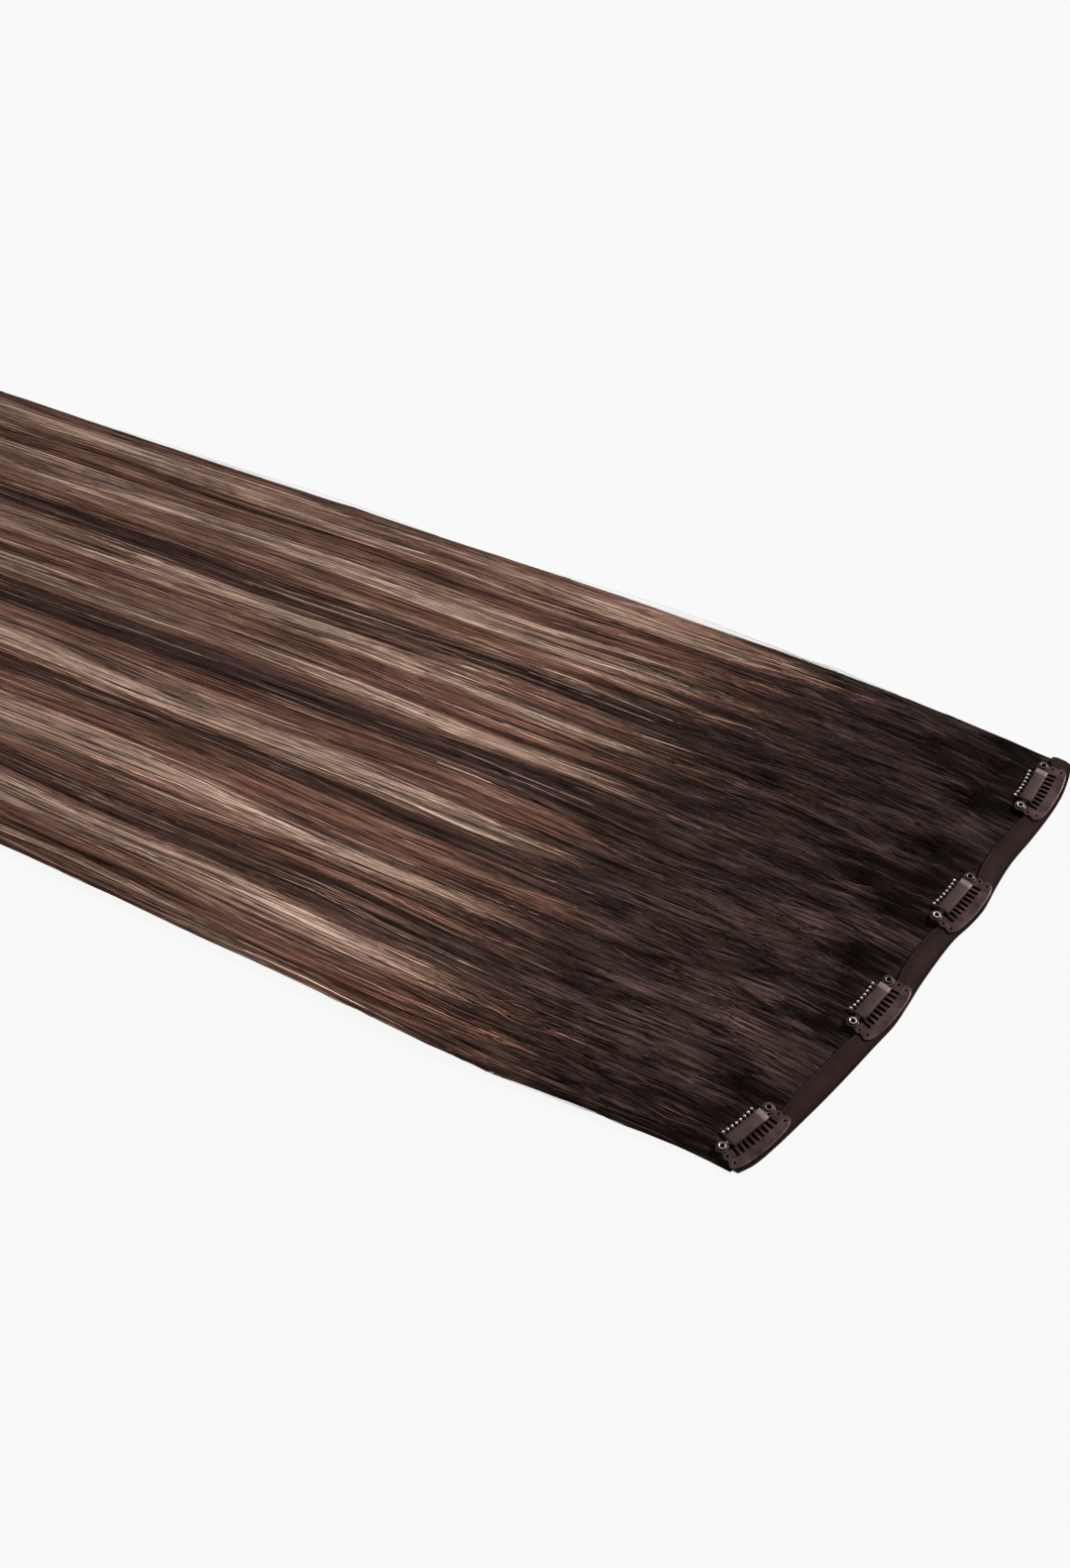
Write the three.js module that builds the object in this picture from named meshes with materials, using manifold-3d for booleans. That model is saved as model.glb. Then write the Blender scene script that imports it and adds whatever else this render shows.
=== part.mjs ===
// A clip in hair extension: a four-clip weft of straight hair, lying flat.
// Millimetres, +Z up. The hair runs along -X from the band, and the flat underside is z = 0.
import * as THREE from 'three';
import { mergeVertices } from 'three/addons/utils/BufferGeometryUtils.js';
import Module from 'manifold-3d';

const wasm = await Module();
wasm.setup();

const gap = 0.3;

// The band: its outer edge bends out from the straight line between its two corners.
// Its width is a share of how far the clips reach in from that edge.
const band = {
  chord: 236,
  rise: 10,
  lean: 76.6,
  turn: 17,
  widthShare: 0.77,
  eyeletDraw: 0.1,
  thickness: 1,
  edgeBevel: 0.35,
  cornerRadius: 2.5,
};

// The outer edge, as shares of the band's chord and of its rise.
const edgeBends = [
  { along: 0, out: 0 },
  { along: 0.03, out: 0.3 },
  { along: 0.07, out: 0.47 },
  { along: 0.13, out: 0.64 },
  { along: 0.22, out: 0.84 },
  { along: 0.31, out: 0.97 },
  { along: 0.365, out: 1.05 },
  { along: 0.41, out: 0.97 },
  { along: 0.46, out: 0.85 },
  { along: 0.56, out: 0.78 },
  { along: 0.6, out: 0.9 },
  { along: 0.64, out: 0.94 },
  { along: 0.7, out: 0.74 },
  { along: 0.75, out: 0.63 },
  { along: 0.82, out: 0.65 },
  { along: 0.88, out: 0.62 },
  { along: 0.93, out: 0.5 },
  { along: 0.97, out: 0.26 },
  { along: 1, out: 0 },
];

// Each clip's place as a share of the band's length, and its turn off the band's own run in degrees.
const clipPlaces = [
  { along: 0.063, twist: -2.5 },
  { along: 0.373, twist: 0.6 },
  { along: 0.629, twist: -3.5 },
  { along: 0.913, twist: 0 },
];

// One clip: x runs along the band and y toward the hair, with 0 on the line through the two eyelets.
const plate = {
  ringHalfSpan: 11.75,
  padRadius: 2.4,
  thickness: 0.5,
  halfLength: 14.9,
  depth: 11.2,
  sewingHole: 0.6,
  backMargin: 1.1,
};

// One side of the plate behind its front pad, as shares of its half length and of its depth.
const plateSide = [
  { out: 0.915, back: 0.18 },
  { out: 0.965, back: 0.33 },
  { out: 0.93, back: 0.47 },
  { out: 0.985, back: 0.6 },
  { out: 1, back: 0.69 },
  { out: 0.94, back: 0.8 },
  { out: 0.78, back: 0.9 },
  { out: 0.5, back: 0.965 },
  { out: 0.25, back: 0.99 },
];

// The sewing holes on one side, in the same shares.
const sewingHoles = [
  { out: 0.86, back: 0.34 },
  { out: 0.85, back: 0.655 },
];

// The slots' closed ends follow the back edge, and their corners are cut off.
const slot = {
  back: 0.62,
  forwardAtEnds: 0.12,
  corner: 0.4,
};
const teeth = {
  count: 8,
  pitchAtRoot: 2.38,
  pitchAtTip: 2.03,
  widthAtRoot: 1.05,
  widthAtTip: 0.8,
  reach: 4.1,
  middleShort: 0.55,
  ballRadius: 0.65,
};
const bow = {
  width: 2,
  thickness: 0.4,
  padRadius: 2.3,
  padMargin: 0.2,
  crown: 0.45,
  setBack: 0.8,
};
const sleeve = {
  length: 17.4,
  width: 5.2,
  wall: 0.3,
  round: 0.55,
  boreRound: 0.1,
};
const eyelet = {
  bore: 0.8,
  barrel: 1.1,
  flange: 1.65,
  flangeThickness: 0.4,
  lip: 0.3,
  rimBevel: 0.25,
  mouthBevel: 0.1,
};

// How many sides the small round shapes have.
const sides = {
  rivetHole: 10,
  sewingHole: 6,
  bowPad: 14,
  eyelet: 10,
};

// The hair, in mm above its underside or along it, or as shares of its length or of a lock's width or height.
const hair = {
  length: 610,
  rootLayer: 1,
  rootReach: 17.5,
  fullHeight: 8,
  sideHeight: 0.6,
  sideReach: 0.05,
  locks: 13,
  widthSpread: 0.7,
  overlap: 1.16,
  heightSpread: 0.1,
  endSpread: 0.07,
  shortestTaper: 0.06,
  taperSpread: 0.1,
  tipWidth: 0.04,
  tipHeight: 0.12,
  tipMargin: 8,
};
const upperLocks = {
  count: 7,
  width: 1.1,
  start: 0.08,
  end: 0.72,
  endSpread: 0.25,
  placeSpread: 0.3,
  taper: 0.3,
  lift: 1.06,
};

// In front of each clip the hair is pressed down.
const clipDent = {
  depth: 0.3,
  halfWidth: 16,
  distance: 28,
  reach: 19,
};

// How far the two sides of the hair drift along +Y, and how high it stands, by share of its length.
const hairRun = [
  { along: 0, near: 0, far: 0, height: 0.12 },
  { along: 0.022, near: 1.2, far: 0.3, height: 0.15 },
  { along: 0.0285, near: 1.4, far: 0.4, height: 0.27 },
  { along: 0.05, near: 1.8, far: 0.7, height: 0.64 },
  { along: 0.092, near: 0.7, far: 1.6, height: 0.88 },
  { along: 0.175, near: 0, far: 3.3, height: 0.98 },
  { along: 0.295, near: 3.2, far: 3.2, height: 1 },
  { along: 0.46, near: 7.5, far: 1.4, height: 0.9 },
  { along: 0.645, near: 10.5, far: -0.8, height: 0.72 },
  { along: 0.8, near: 11, far: -2.2, height: 0.55 },
  { along: 0.92, near: 11, far: -2.6, height: 0.4 },
  { along: 1, near: 11, far: -2.8, height: 0.25 },
];

// The cross-section of a lock: across as a share of its half width, up as a share of its height.
const lockSection = [
  { across: -1, up: 0 },
  { across: 1, up: 0 },
  { across: 1, up: 0.7 },
  { across: 0.55, up: 0.92 },
  { across: 0, up: 1 },
  { across: -0.55, up: 0.92 },
  { across: -1, up: 0.7 },
];

// Derived sizes.
const ringInset = plate.depth + plate.backMargin;
const bandBottom = hair.rootLayer + gap;
const bandTop = bandBottom + band.thickness;
const plateBottom = bandTop + gap;
const bowBottom = plate.thickness + gap;
const flangeBottom = bowBottom + bow.thickness + gap;
const sleeveHeight = bow.thickness + 2 * gap + 2 * sleeve.wall;
const rivetHole = eyelet.barrel + gap;
const bowPadEdge = plate.ringHalfSpan - rivetHole - bow.padMargin;

// A small fixed sequence of even random numbers between 0 and 1.
function sequence(seed) {
  let state = seed;
  return () => {
    state = (state * 16807) % 2147483647;
    return state / 2147483647;
  };
}

// A named column of a table, read between its rows.
function blend(rows, along, name) {
  const last = rows.length - 1;
  let i = 0;
  while (i < last - 1 && along > rows[i + 1].along) i += 1;
  const share = (along - rows[i].along) / (rows[i + 1].along - rows[i].along);
  return THREE.MathUtils.lerp(rows[i][name], rows[i + 1][name], THREE.MathUtils.clamp(share, 0, 1));
}

// Evenly spaced stops between two ends.
function stops(from, to, count) {
  return Array.from({ length: count + 1 }, (_, i) => THREE.MathUtils.lerp(from, to, i / count));
}

// A smooth hump: 1 in the middle and 0 from its reach on.
function bump(distance, reach) {
  const share = Math.min(Math.abs(distance) / reach, 1);
  return Math.cos((share * Math.PI) / 2) ** 2;
}

const outerEdge = new THREE.CatmullRomCurve3(
  edgeBends.map((row) => {
    const lean = THREE.MathUtils.degToRad(band.lean);
    const along = (row.along - 0.5) * band.chord;
    const out = row.out * band.rise;
    return new THREE.Vector3(
      along * Math.cos(lean) + out * Math.sin(lean),
      along * Math.sin(lean) - out * Math.cos(lean),
      0,
    );
  }),
);
const bandLength = outerEdge.getLength();

// The band's own run at a share of its length, in degrees from +X.
function runAngle(along) {
  return band.lean + (along - 0.5) * band.turn;
}

// A point at a share of the band's length and an inset from its outer edge toward the hair.
function onBand(along, inset, height) {
  const inward = THREE.MathUtils.degToRad(runAngle(along) + 90);
  const point = outerEdge.getPointAt(along);
  return new THREE.Vector3(point.x + inset * Math.cos(inward), point.y + inset * Math.sin(inward), height);
}

// The band's inner edge draws back from the two eyelets of each clip.
function bandWidth(along) {
  const nearness = clipPlaces.flatMap((place) => [-1, 1].map((side) => {
    const fromEyelet = (along - place.along) * bandLength - side * plate.ringHalfSpan;
    return bump(fromEyelet, plate.ringHalfSpan);
  }));
  return ringInset * (band.widthShare - band.eyeletDraw * Math.max(...nearness));
}

// The volume that the faces enclose, below zero where they face inward.
function signedVolume(points, faces) {
  let volume = 0;
  for (let i = 0; i < faces.length; i += 3) {
    const [a, b, c] = [points[faces[i]], points[faces[i + 1]], points[faces[i + 2]]];
    volume += a.clone().cross(b).dot(c) / 6;
  }
  return volume;
}

// A closed body through a row of closed sections, each with the same number of points.
function loft(sections) {
  const count = sections[0].length;
  const positions = sections.flat().flatMap((point) => [point.x, point.y, point.z]);
  const faces = [];
  for (let s = 0; s < sections.length - 1; s += 1) {
    for (let p = 0; p < count; p += 1) {
      const a = s * count + p;
      const b = s * count + ((p + 1) % count);
      faces.push(a, b, b + count, a, b + count, a + count);
    }
  }
  const end = (sections.length - 1) * count;
  for (let p = 1; p < count - 1; p += 1) {
    faces.push(0, p + 1, p, end, end + p, end + p + 1);
  }
  if (signedVolume(sections.flat(), faces) < 0) faces.reverse();
  const geometry = new THREE.BufferGeometry();
  geometry.setAttribute('position', new THREE.Float32BufferAttribute(positions, 3));
  geometry.setIndex(faces);
  return geometry;
}

function toSolid(geometry) {
  const bare = geometry.clone();
  bare.deleteAttribute('normal');
  bare.deleteAttribute('uv');
  const merged = mergeVertices(bare, 1e-4);
  return new wasm.Manifold(new wasm.Mesh({
    numProp: 3,
    vertProperties: new Float32Array(merged.attributes.position.array),
    triVerts: new Uint32Array(merged.index.array),
  }));
}

function toGeometry(solid) {
  const mesh = solid.getMesh();
  const geometry = new THREE.BufferGeometry();
  geometry.setAttribute('position', new THREE.BufferAttribute(new Float32Array(mesh.vertProperties), 3));
  geometry.setIndex(new THREE.BufferAttribute(new Uint32Array(mesh.triVerts), 1));
  return geometry;
}

function fuse(solids) {
  return solids.reduce((whole, next) => whole.add(next));
}

// Where the root of the hair or a point along it lies: across is the share of the band's length.
function inHair(across, distance, height) {
  const root = outerEdge.getPointAt(THREE.MathUtils.clamp(across, 0, 1));
  const along = distance / hair.length;
  const drift = THREE.MathUtils.lerp(blend(hairRun, along, 'near'), blend(hairRun, along, 'far'), across);
  return new THREE.Vector3(root.x - distance, root.y + drift, height);
}

// The height of the hair: it thins toward its two sides and is pressed down in front of each clip.
function hairHeight(across, distance) {
  const fromSide = THREE.MathUtils.smoothstep(Math.min(across, 1 - across), 0, hair.sideReach);
  const sideShare = THREE.MathUtils.lerp(hair.sideHeight, 1, fromSide);
  const beside = clipPlaces.map((place) => bump((across - place.along) * bandLength, clipDent.halfWidth));
  const dent = clipDent.depth * Math.max(...beside) * bump(distance - clipDent.distance, clipDent.reach);
  return hair.fullHeight * blend(hairRun, distance / hair.length, 'height') * sideShare * (1 - dent);
}

// One lock, from a start distance to its pointed tip; it narrows over the last part of its length.
function lock({ across, halfWidth, start, end, lift, taper }) {
  const middle = hairRun.map((row) => row.along * hair.length)
    .filter((stop) => stop > start && stop < end - hair.tipMargin);
  return loft([start, ...middle, end].map((distance) => {
    const left = THREE.MathUtils.clamp((end - distance) / taper, 0, 1);
    const narrowing = Math.max(Math.sqrt(left), hair.tipWidth);
    const thinning = Math.max(left ** 0.4, hair.tipHeight);
    const top = hairHeight(across, distance) * lift * thinning;
    return lockSection.map((corner) => (
      inHair(across + corner.across * halfWidth * narrowing, distance, corner.up * top)
    ));
  }));
}

// The flat layer of roots that the band is sewn to.
function rootLayer() {
  const inner = hair.rootReach;
  return loft(stops(0, 1, 36).map((across) => [
    inHair(across, 0, 0),
    inHair(across, 0, hair.rootLayer),
    inHair(across, inner, hair.rootLayer),
    inHair(across, inner, 0),
  ]));
}

// The locks lie side by side with uneven widths, and a few shorter ones lie on top of them.
function makeHair() {
  const next = sequence(7);
  const shares = Array.from({ length: hair.locks }, () => 1 + hair.widthSpread * (next() - 0.5));
  const whole = shares.reduce((sum, share) => sum + share);
  const pieces = [rootLayer()];
  let from = 0;
  for (const share of shares) {
    const to = from + share / whole;
    const lap = ((to - from) * (hair.overlap - 1)) / 2;
    const left = Math.max(from - lap, 0);
    const right = Math.min(to + lap, 1);
    pieces.push(lock({
      across: (left + right) / 2,
      halfWidth: (right - left) / 2,
      start: ringInset,
      end: hair.length * (1 - hair.endSpread * next()),
      lift: 1 - hair.heightSpread * next(),
      taper: hair.length * (hair.shortestTaper + hair.taperSpread * next()),
    }));
    from = to;
  }
  for (let i = 0; i < upperLocks.count; i += 1) {
    pieces.push(lock({
      across: (i + 0.5 + upperLocks.placeSpread * (next() - 0.5)) / upperLocks.count,
      halfWidth: upperLocks.width / hair.locks / 2,
      start: upperLocks.start * hair.length,
      end: hair.length * (upperLocks.end + upperLocks.endSpread * next()),
      lift: upperLocks.lift,
      taper: upperLocks.taper * hair.length,
    }));
  }
  return toGeometry(fuse(pieces.map(toSolid)));
}

// How much a rounded corner takes off each long edge, at a distance from the band's end.
function cornerTrim(distance) {
  const short = Math.max(band.cornerRadius - distance, 0);
  return band.cornerRadius - Math.sqrt(band.cornerRadius ** 2 - short ** 2);
}

function makeBand() {
  const corner = band.cornerRadius / bandLength;
  const ends = [0, 0.15, 0.45].map((share) => share * corner);
  const middle = stops(corner, 1 - corner, 34);
  const alongs = [...ends, ...middle, ...ends.map((along) => 1 - along).reverse()];
  return loft(alongs.map((along) => {
    const trim = cornerTrim(Math.min(along, 1 - along) * bandLength);
    const outer = trim;
    const inner = bandWidth(along) - trim;
    const bevel = band.edgeBevel;
    return [
      onBand(along, outer, bandBottom),
      onBand(along, outer, bandTop - bevel),
      onBand(along, outer + bevel, bandTop),
      onBand(along, inner - bevel, bandTop),
      onBand(along, inner, bandTop - bevel),
      onBand(along, inner, bandBottom),
    ];
  }));
}

function circle(x, y, radius, sides) {
  const points = [];
  for (let i = 0; i < sides; i += 1) {
    const angle = (2 * Math.PI * i) / sides;
    points.push(new THREE.Vector2(x + radius * Math.cos(angle), y + radius * Math.sin(angle)));
  }
  return new THREE.Path(points);
}

// The x of a tooth's middle line, or of a slot's for a half index: the teeth close up toward their tips.
function toothX(index, y) {
  const rootY = -slot.back * plate.depth;
  const share = (y - rootY) / (teeth.reach - rootY);
  const pitch = THREE.MathUtils.lerp(teeth.pitchAtRoot, teeth.pitchAtTip, share);
  return (index - (teeth.count - 1) / 2) * pitch;
}

// How far a tooth reaches: the middle ones are shorter.
function toothTip(index) {
  const fromMiddle = (2 * index) / (teeth.count - 1) - 1;
  return teeth.reach - teeth.middleShort * (1 - fromMiddle ** 2);
}

function slotEnd(x) {
  return -plate.depth * (slot.back - slot.forwardAtEnds * (x / plate.halfLength) ** 2);
}

// The right-hand outside of the plate, from the front of its arm to the back edge.
function rightOutside() {
  const arc = [150, 115, 80, 45, 15].map((degrees) => {
    const angle = THREE.MathUtils.degToRad(degrees);
    return [plate.ringHalfSpan + plate.padRadius * Math.cos(angle), plate.padRadius * Math.sin(angle)];
  });
  const side = plateSide.map((row) => [row.out * plate.halfLength, -row.back * plate.depth]);
  return [...arc, ...side];
}

function plateOutline() {
  const right = rightOutside();
  const left = right.map(([x, y]) => [-x, y]).reverse();
  const armFront = slot.corner * plate.padRadius;
  const armInside = toothX(teeth.count, armFront) - teeth.widthAtRoot / 2;
  const points = [[armInside, armFront], ...right, [0, -plate.depth], ...left, [-armInside, armFront]];
  for (let i = 0; i <= teeth.count; i += 1) {
    const end = slotEnd(toothX(i - 0.5, 0));
    const middle = toothX(i - 0.5, end);
    const half = (toothX(1, end) - toothX(0, end) - teeth.widthAtRoot) / 2;
    const cut = slot.corner * half;
    points.push([middle - half, end + cut], [middle - half + cut, end]);
    points.push([middle + half - cut, end], [middle + half, end + cut]);
    if (i < teeth.count) {
      const y = toothTip(i);
      const tip = toothX(i, y);
      points.push([tip - teeth.widthAtTip / 2, y], [tip + teeth.widthAtTip / 2, y]);
    }
  }
  return new THREE.Shape(points.map(([x, y]) => new THREE.Vector2(x, y)));
}

function extrude(outline, thickness) {
  return new THREE.ExtrudeGeometry(outline, { depth: thickness, bevelEnabled: false, steps: 1 });
}

function makePlate() {
  const outline = plateOutline();
  for (const side of [-1, 1]) {
    outline.holes.push(circle(side * plate.ringHalfSpan, 0, rivetHole, sides.rivetHole));
    for (const hole of sewingHoles) {
      const x = side * hole.out * plate.halfLength;
      outline.holes.push(circle(x, -hole.back * plate.depth, plate.sewingHole, sides.sewingHole));
    }
  }
  const ball = toSolid(new THREE.OctahedronGeometry(teeth.ballRadius, 1));
  const tips = Array.from({ length: teeth.count }, (_, i) => (
    ball.translate([toothX(i, toothTip(i)), toothTip(i), plate.thickness / 2])
  ));
  return toGeometry(fuse([toSolid(extrude(outline, plate.thickness)), ...tips]));
}

// The bow bends back over the teeth, away from their tips.
function bowSetBack(x) {
  return -bow.setBack * (1 - (x / plate.ringHalfSpan) ** 4);
}

// The height of the bow's middle plane: flat at the pads, up over the teeth, and highest in the middle.
function bowHeight(x) {
  const atPad = bowBottom + bow.thickness / 2;
  const overTeeth = plate.thickness + gap + sleeveHeight / 2;
  const sleeveEnd = sleeve.length / 2;
  const share = THREE.MathUtils.clamp((bowPadEdge - Math.abs(x)) / (bowPadEdge - sleeveEnd), 0, 1);
  const arch = Math.max(1 - (x / sleeveEnd) ** 2, 0) * bow.crown;
  return THREE.MathUtils.lerp(atPad, overTeeth, share) + arch;
}

function makeBow() {
  const sleeveEnd = sleeve.length / 2;
  const places = [-bowPadEdge, ...stops(-sleeveEnd, sleeveEnd, 6), bowPadEdge];
  const strip = loft(places.map((x) => {
    const z = bowHeight(x);
    const half = bow.width / 2;
    const up = bow.thickness / 2;
    const y = bowSetBack(x);
    return [
      new THREE.Vector3(x, y - half, z - up),
      new THREE.Vector3(x, y + half, z - up),
      new THREE.Vector3(x, y + half, z + up),
      new THREE.Vector3(x, y - half, z + up),
    ];
  }));
  const pads = [-1, 1].map((side) => {
    const outline = new THREE.Shape(circle(side * plate.ringHalfSpan, 0, bow.padRadius, sides.bowPad).getPoints());
    outline.holes.push(circle(side * plate.ringHalfSpan, 0, rivetHole, sides.rivetHole));
    return extrude(outline, bow.thickness).translate(0, 0, bowBottom);
  });
  return toGeometry(fuse([strip, ...pads].map(toSolid)));
}

// A closed section across the bow at x: a rounded oblong of the given width and height.
function oblong(x, width, height, round) {
  const y = bowSetBack(x);
  const z = bowHeight(x);
  const halfWidth = width / 2;
  const halfHeight = height / 2;
  const corners = [
    [-halfWidth + round, -halfHeight],
    [halfWidth - round, -halfHeight],
    [halfWidth, -halfHeight + round],
    [halfWidth, halfHeight - round],
    [halfWidth - round, halfHeight],
    [-halfWidth + round, halfHeight],
    [-halfWidth, halfHeight - round],
    [-halfWidth, -halfHeight + round],
  ];
  return corners.map(([across, up]) => new THREE.Vector3(x, y + across, z + up));
}

function makeSleeve() {
  const end = sleeve.length / 2;
  const places = stops(-end, end, 4);
  const outside = loft(places.map((x) => oblong(x, sleeve.width, sleeveHeight, sleeve.round)));
  const bore = loft([-1.1 * end, ...places, 1.1 * end].map((x) => (
    oblong(x, bow.width + 2 * gap, bow.thickness + 2 * gap, sleeve.boreRound)
  )));
  return toGeometry(toSolid(outside).subtract(toSolid(bore)));
}

function makeEyelet(side) {
  const bottom = -gap - eyelet.lip;
  const top = flangeBottom + eyelet.flangeThickness;
  const profile = [
    [eyelet.bore, bottom],
    [eyelet.flange - eyelet.mouthBevel, bottom],
    [eyelet.flange - eyelet.mouthBevel, -gap],
    [eyelet.barrel, -gap],
    [eyelet.barrel, flangeBottom],
    [eyelet.flange, flangeBottom],
    [eyelet.flange - eyelet.rimBevel, top],
    [eyelet.bore + eyelet.mouthBevel, top],
    [eyelet.bore, top - eyelet.rimBevel],
    [eyelet.bore, bottom],
  ];
  const ring = new THREE.LatheGeometry(profile.map(([r, z]) => new THREE.Vector2(r, z)), sides.eyelet);
  ring.rotateX(Math.PI / 2);
  ring.translate(side * plate.ringHalfSpan, 0, 0);
  return ring;
}

const looks = {
  hair: { color: 0x3a2620, roughness: 0.5, metalness: 0 },
  band: { color: 0x2c1d19, roughness: 0.75, metalness: 0 },
  metal: { color: 0x4a3531, roughness: 0.4, metalness: 0.6 },
  bright: { color: 0x9a8a84, roughness: 0.3, metalness: 0.9 },
  rubber: { color: 0x54403c, roughness: 0.45, metalness: 0 },
};

const group = new THREE.Group();

function addMesh(name, geometry, look) {
  const mesh = new THREE.Mesh(geometry, new THREE.MeshStandardMaterial(look));
  mesh.name = name;
  group.add(mesh);
}

function addClip(number, place) {
  const pieces = {
    [`comb_plate_${number}`]: [makePlate(), looks.metal],
    [`spring_bow_${number}`]: [makeBow(), looks.metal],
    [`silicone_sleeve_${number}`]: [makeSleeve(), looks.rubber],
    [`eyelet_${number}_near`]: [makeEyelet(-1), looks.bright],
    [`eyelet_${number}_far`]: [makeEyelet(1), looks.bright],
  };
  const middle = onBand(place.along, ringInset, plateBottom);
  const angle = THREE.MathUtils.degToRad(runAngle(place.along) + place.twist);
  for (const [name, [geometry, look]] of Object.entries(pieces)) {
    geometry.rotateZ(angle);
    geometry.translate(middle.x, middle.y, middle.z);
    addMesh(name, geometry, look);
  }
}

addMesh('hair', makeHair(), looks.hair);
addMesh('weft_band', makeBand(), looks.band);
clipPlaces.forEach((place, index) => addClip(index + 1, place));

// The origin is under the middle of the whole piece.
const bounds = new THREE.Box3().setFromObject(group);
const centre = bounds.getCenter(new THREE.Vector3());
for (const mesh of group.children) {
  mesh.geometry.translate(-centre.x, -centre.y, -bounds.min.z);
}

export default group;
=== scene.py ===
"""A clip in hair extension: a four-clip weft of straight, streaked hair, lying flat.

Sizes are in millimetres until a mesh is made. The hair runs along -X from the band.
"""

import math

import bmesh
import bpy
import numpy as np
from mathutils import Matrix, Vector


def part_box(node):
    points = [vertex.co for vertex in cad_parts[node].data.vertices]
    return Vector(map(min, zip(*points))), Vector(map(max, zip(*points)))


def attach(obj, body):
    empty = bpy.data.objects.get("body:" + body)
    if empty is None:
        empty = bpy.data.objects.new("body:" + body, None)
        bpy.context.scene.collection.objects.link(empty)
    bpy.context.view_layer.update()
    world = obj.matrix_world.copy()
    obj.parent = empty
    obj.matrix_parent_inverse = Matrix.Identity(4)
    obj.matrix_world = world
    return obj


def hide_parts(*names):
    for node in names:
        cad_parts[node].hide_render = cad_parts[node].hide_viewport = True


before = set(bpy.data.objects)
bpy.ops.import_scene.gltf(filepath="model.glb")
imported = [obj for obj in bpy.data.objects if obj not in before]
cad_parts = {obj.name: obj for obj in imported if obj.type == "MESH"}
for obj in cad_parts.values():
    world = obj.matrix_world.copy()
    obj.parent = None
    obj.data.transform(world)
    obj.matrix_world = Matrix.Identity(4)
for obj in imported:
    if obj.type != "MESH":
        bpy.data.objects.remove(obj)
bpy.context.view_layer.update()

MM = 0.001


def table(names, *rows):
    """Rows of numbers under named columns."""
    return [dict(zip(names.split(), row)) for row in rows]


CAMERA = {
    "target": (131.1, 8.17, 2.9), "azimuth": 25.61, "elevation": 52.52, "distance": 804.4,
    "lens": 45.51, "sensor": 36, "clip": (0.01, 100),
}

GAP = 0.3
CLIPS = 4

# The layer of roots under the band: its section, by the distance from the band's outer edge and the height,
# and how dark it is as painted shade under the band.
ROOT_LAYER = 1
ROOTS = {"stations": 160, "shade": 0.6}
ROOT_SECTION = table(
    "inset up",
    (0.5, 0.1), (0.5, ROOT_LAYER - 0.1), (8, ROOT_LAYER - 0.05), (17.5, ROOT_LAYER - 0.1),
    (17.5, 0.1), (8, 0.1),
)

# The band's outer edge bends out from the straight line between its corners, by shares of its chord and rise.
BAND = {
    "chord": 236, "rise": 10, "lean": 76.6, "turn": 17, "width_share": 0.77, "eyelet_draw": 0.1,
    "thickness": 1, "corner": 2.5, "pucker": 0.03, "pucker_reach": 20, "stations": 420,
}
EDGE_BENDS = table(
    "along out",
    (0, 0), (0.03, 0.3), (0.07, 0.47), (0.13, 0.64), (0.22, 0.84), (0.31, 0.97), (0.365, 1.05),
    (0.41, 0.97), (0.46, 0.85), (0.56, 0.78), (0.6, 0.9), (0.64, 0.94), (0.7, 0.74), (0.75, 0.63),
    (0.82, 0.65), (0.88, 0.62), (0.93, 0.5), (0.97, 0.26), (1, 0),
)
CLIP_PLACES = (0.063, 0.373, 0.629, 0.913)

# One clip: x runs along the band and y toward the hair, with 0 on the line through its two eyelets.
PLATE = {
    "ring_half_span": 11.75, "pad_radius": 2.4, "thickness": 0.5, "half_length": 14.9, "depth": 11.2,
    "sewing_hole": 0.6, "back_margin": 1.1, "bevel": 0.12,
}
PLATE_SIDE = table(
    "out back",
    (0.915, 0.18), (0.965, 0.33), (0.93, 0.47), (0.985, 0.6), (1, 0.69), (0.94, 0.8), (0.78, 0.9),
    (0.5, 0.965), (0.25, 0.99),
)
SEWING_HOLES = table(
    "out back",
    (0.86, 0.34), (0.85, 0.655),
)
RIB = {"from_back": 0.62, "inset": 0.4, "sunk": 0.1, "radius": 0.2}
SLOT = {"back": 0.62, "forward_at_ends": 0.12, "corner": 0.4}
TEETH = {
    "count": 8, "pitch_at_root": 2.38, "pitch_at_tip": 2.03, "width_at_root": 1.05,
    "width_at_tip": 0.8, "reach": 4.1, "middle_short": 0.55, "ball_radius": 0.65,
}
BOW = {
    "width": 2, "thickness": 0.4, "corner": 0.12, "pad_radius": 2.3, "pad_bevel": 0.1, "pad_margin": 0.2,
    "crown": 0.45, "set_back": 0.8, "stations": 41,
}
SLEEVE = {
    "length": 17.4, "width": 5.2, "wall": 0.3, "corner": 0.6, "soft": 0.12, "stations": 25,
    "pressed": (2.0, 2.7),
}
THREAD = {"turns": 3, "reach": 0.3, "sunk": 0.12, "droop": 0.1, "radius": 0.08}
EYELET = {"bore": 0.8, "barrel": 1.1, "flange": 1.65, "flange_thickness": 0.4, "lip": 0.3, "sides": 40}

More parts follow.
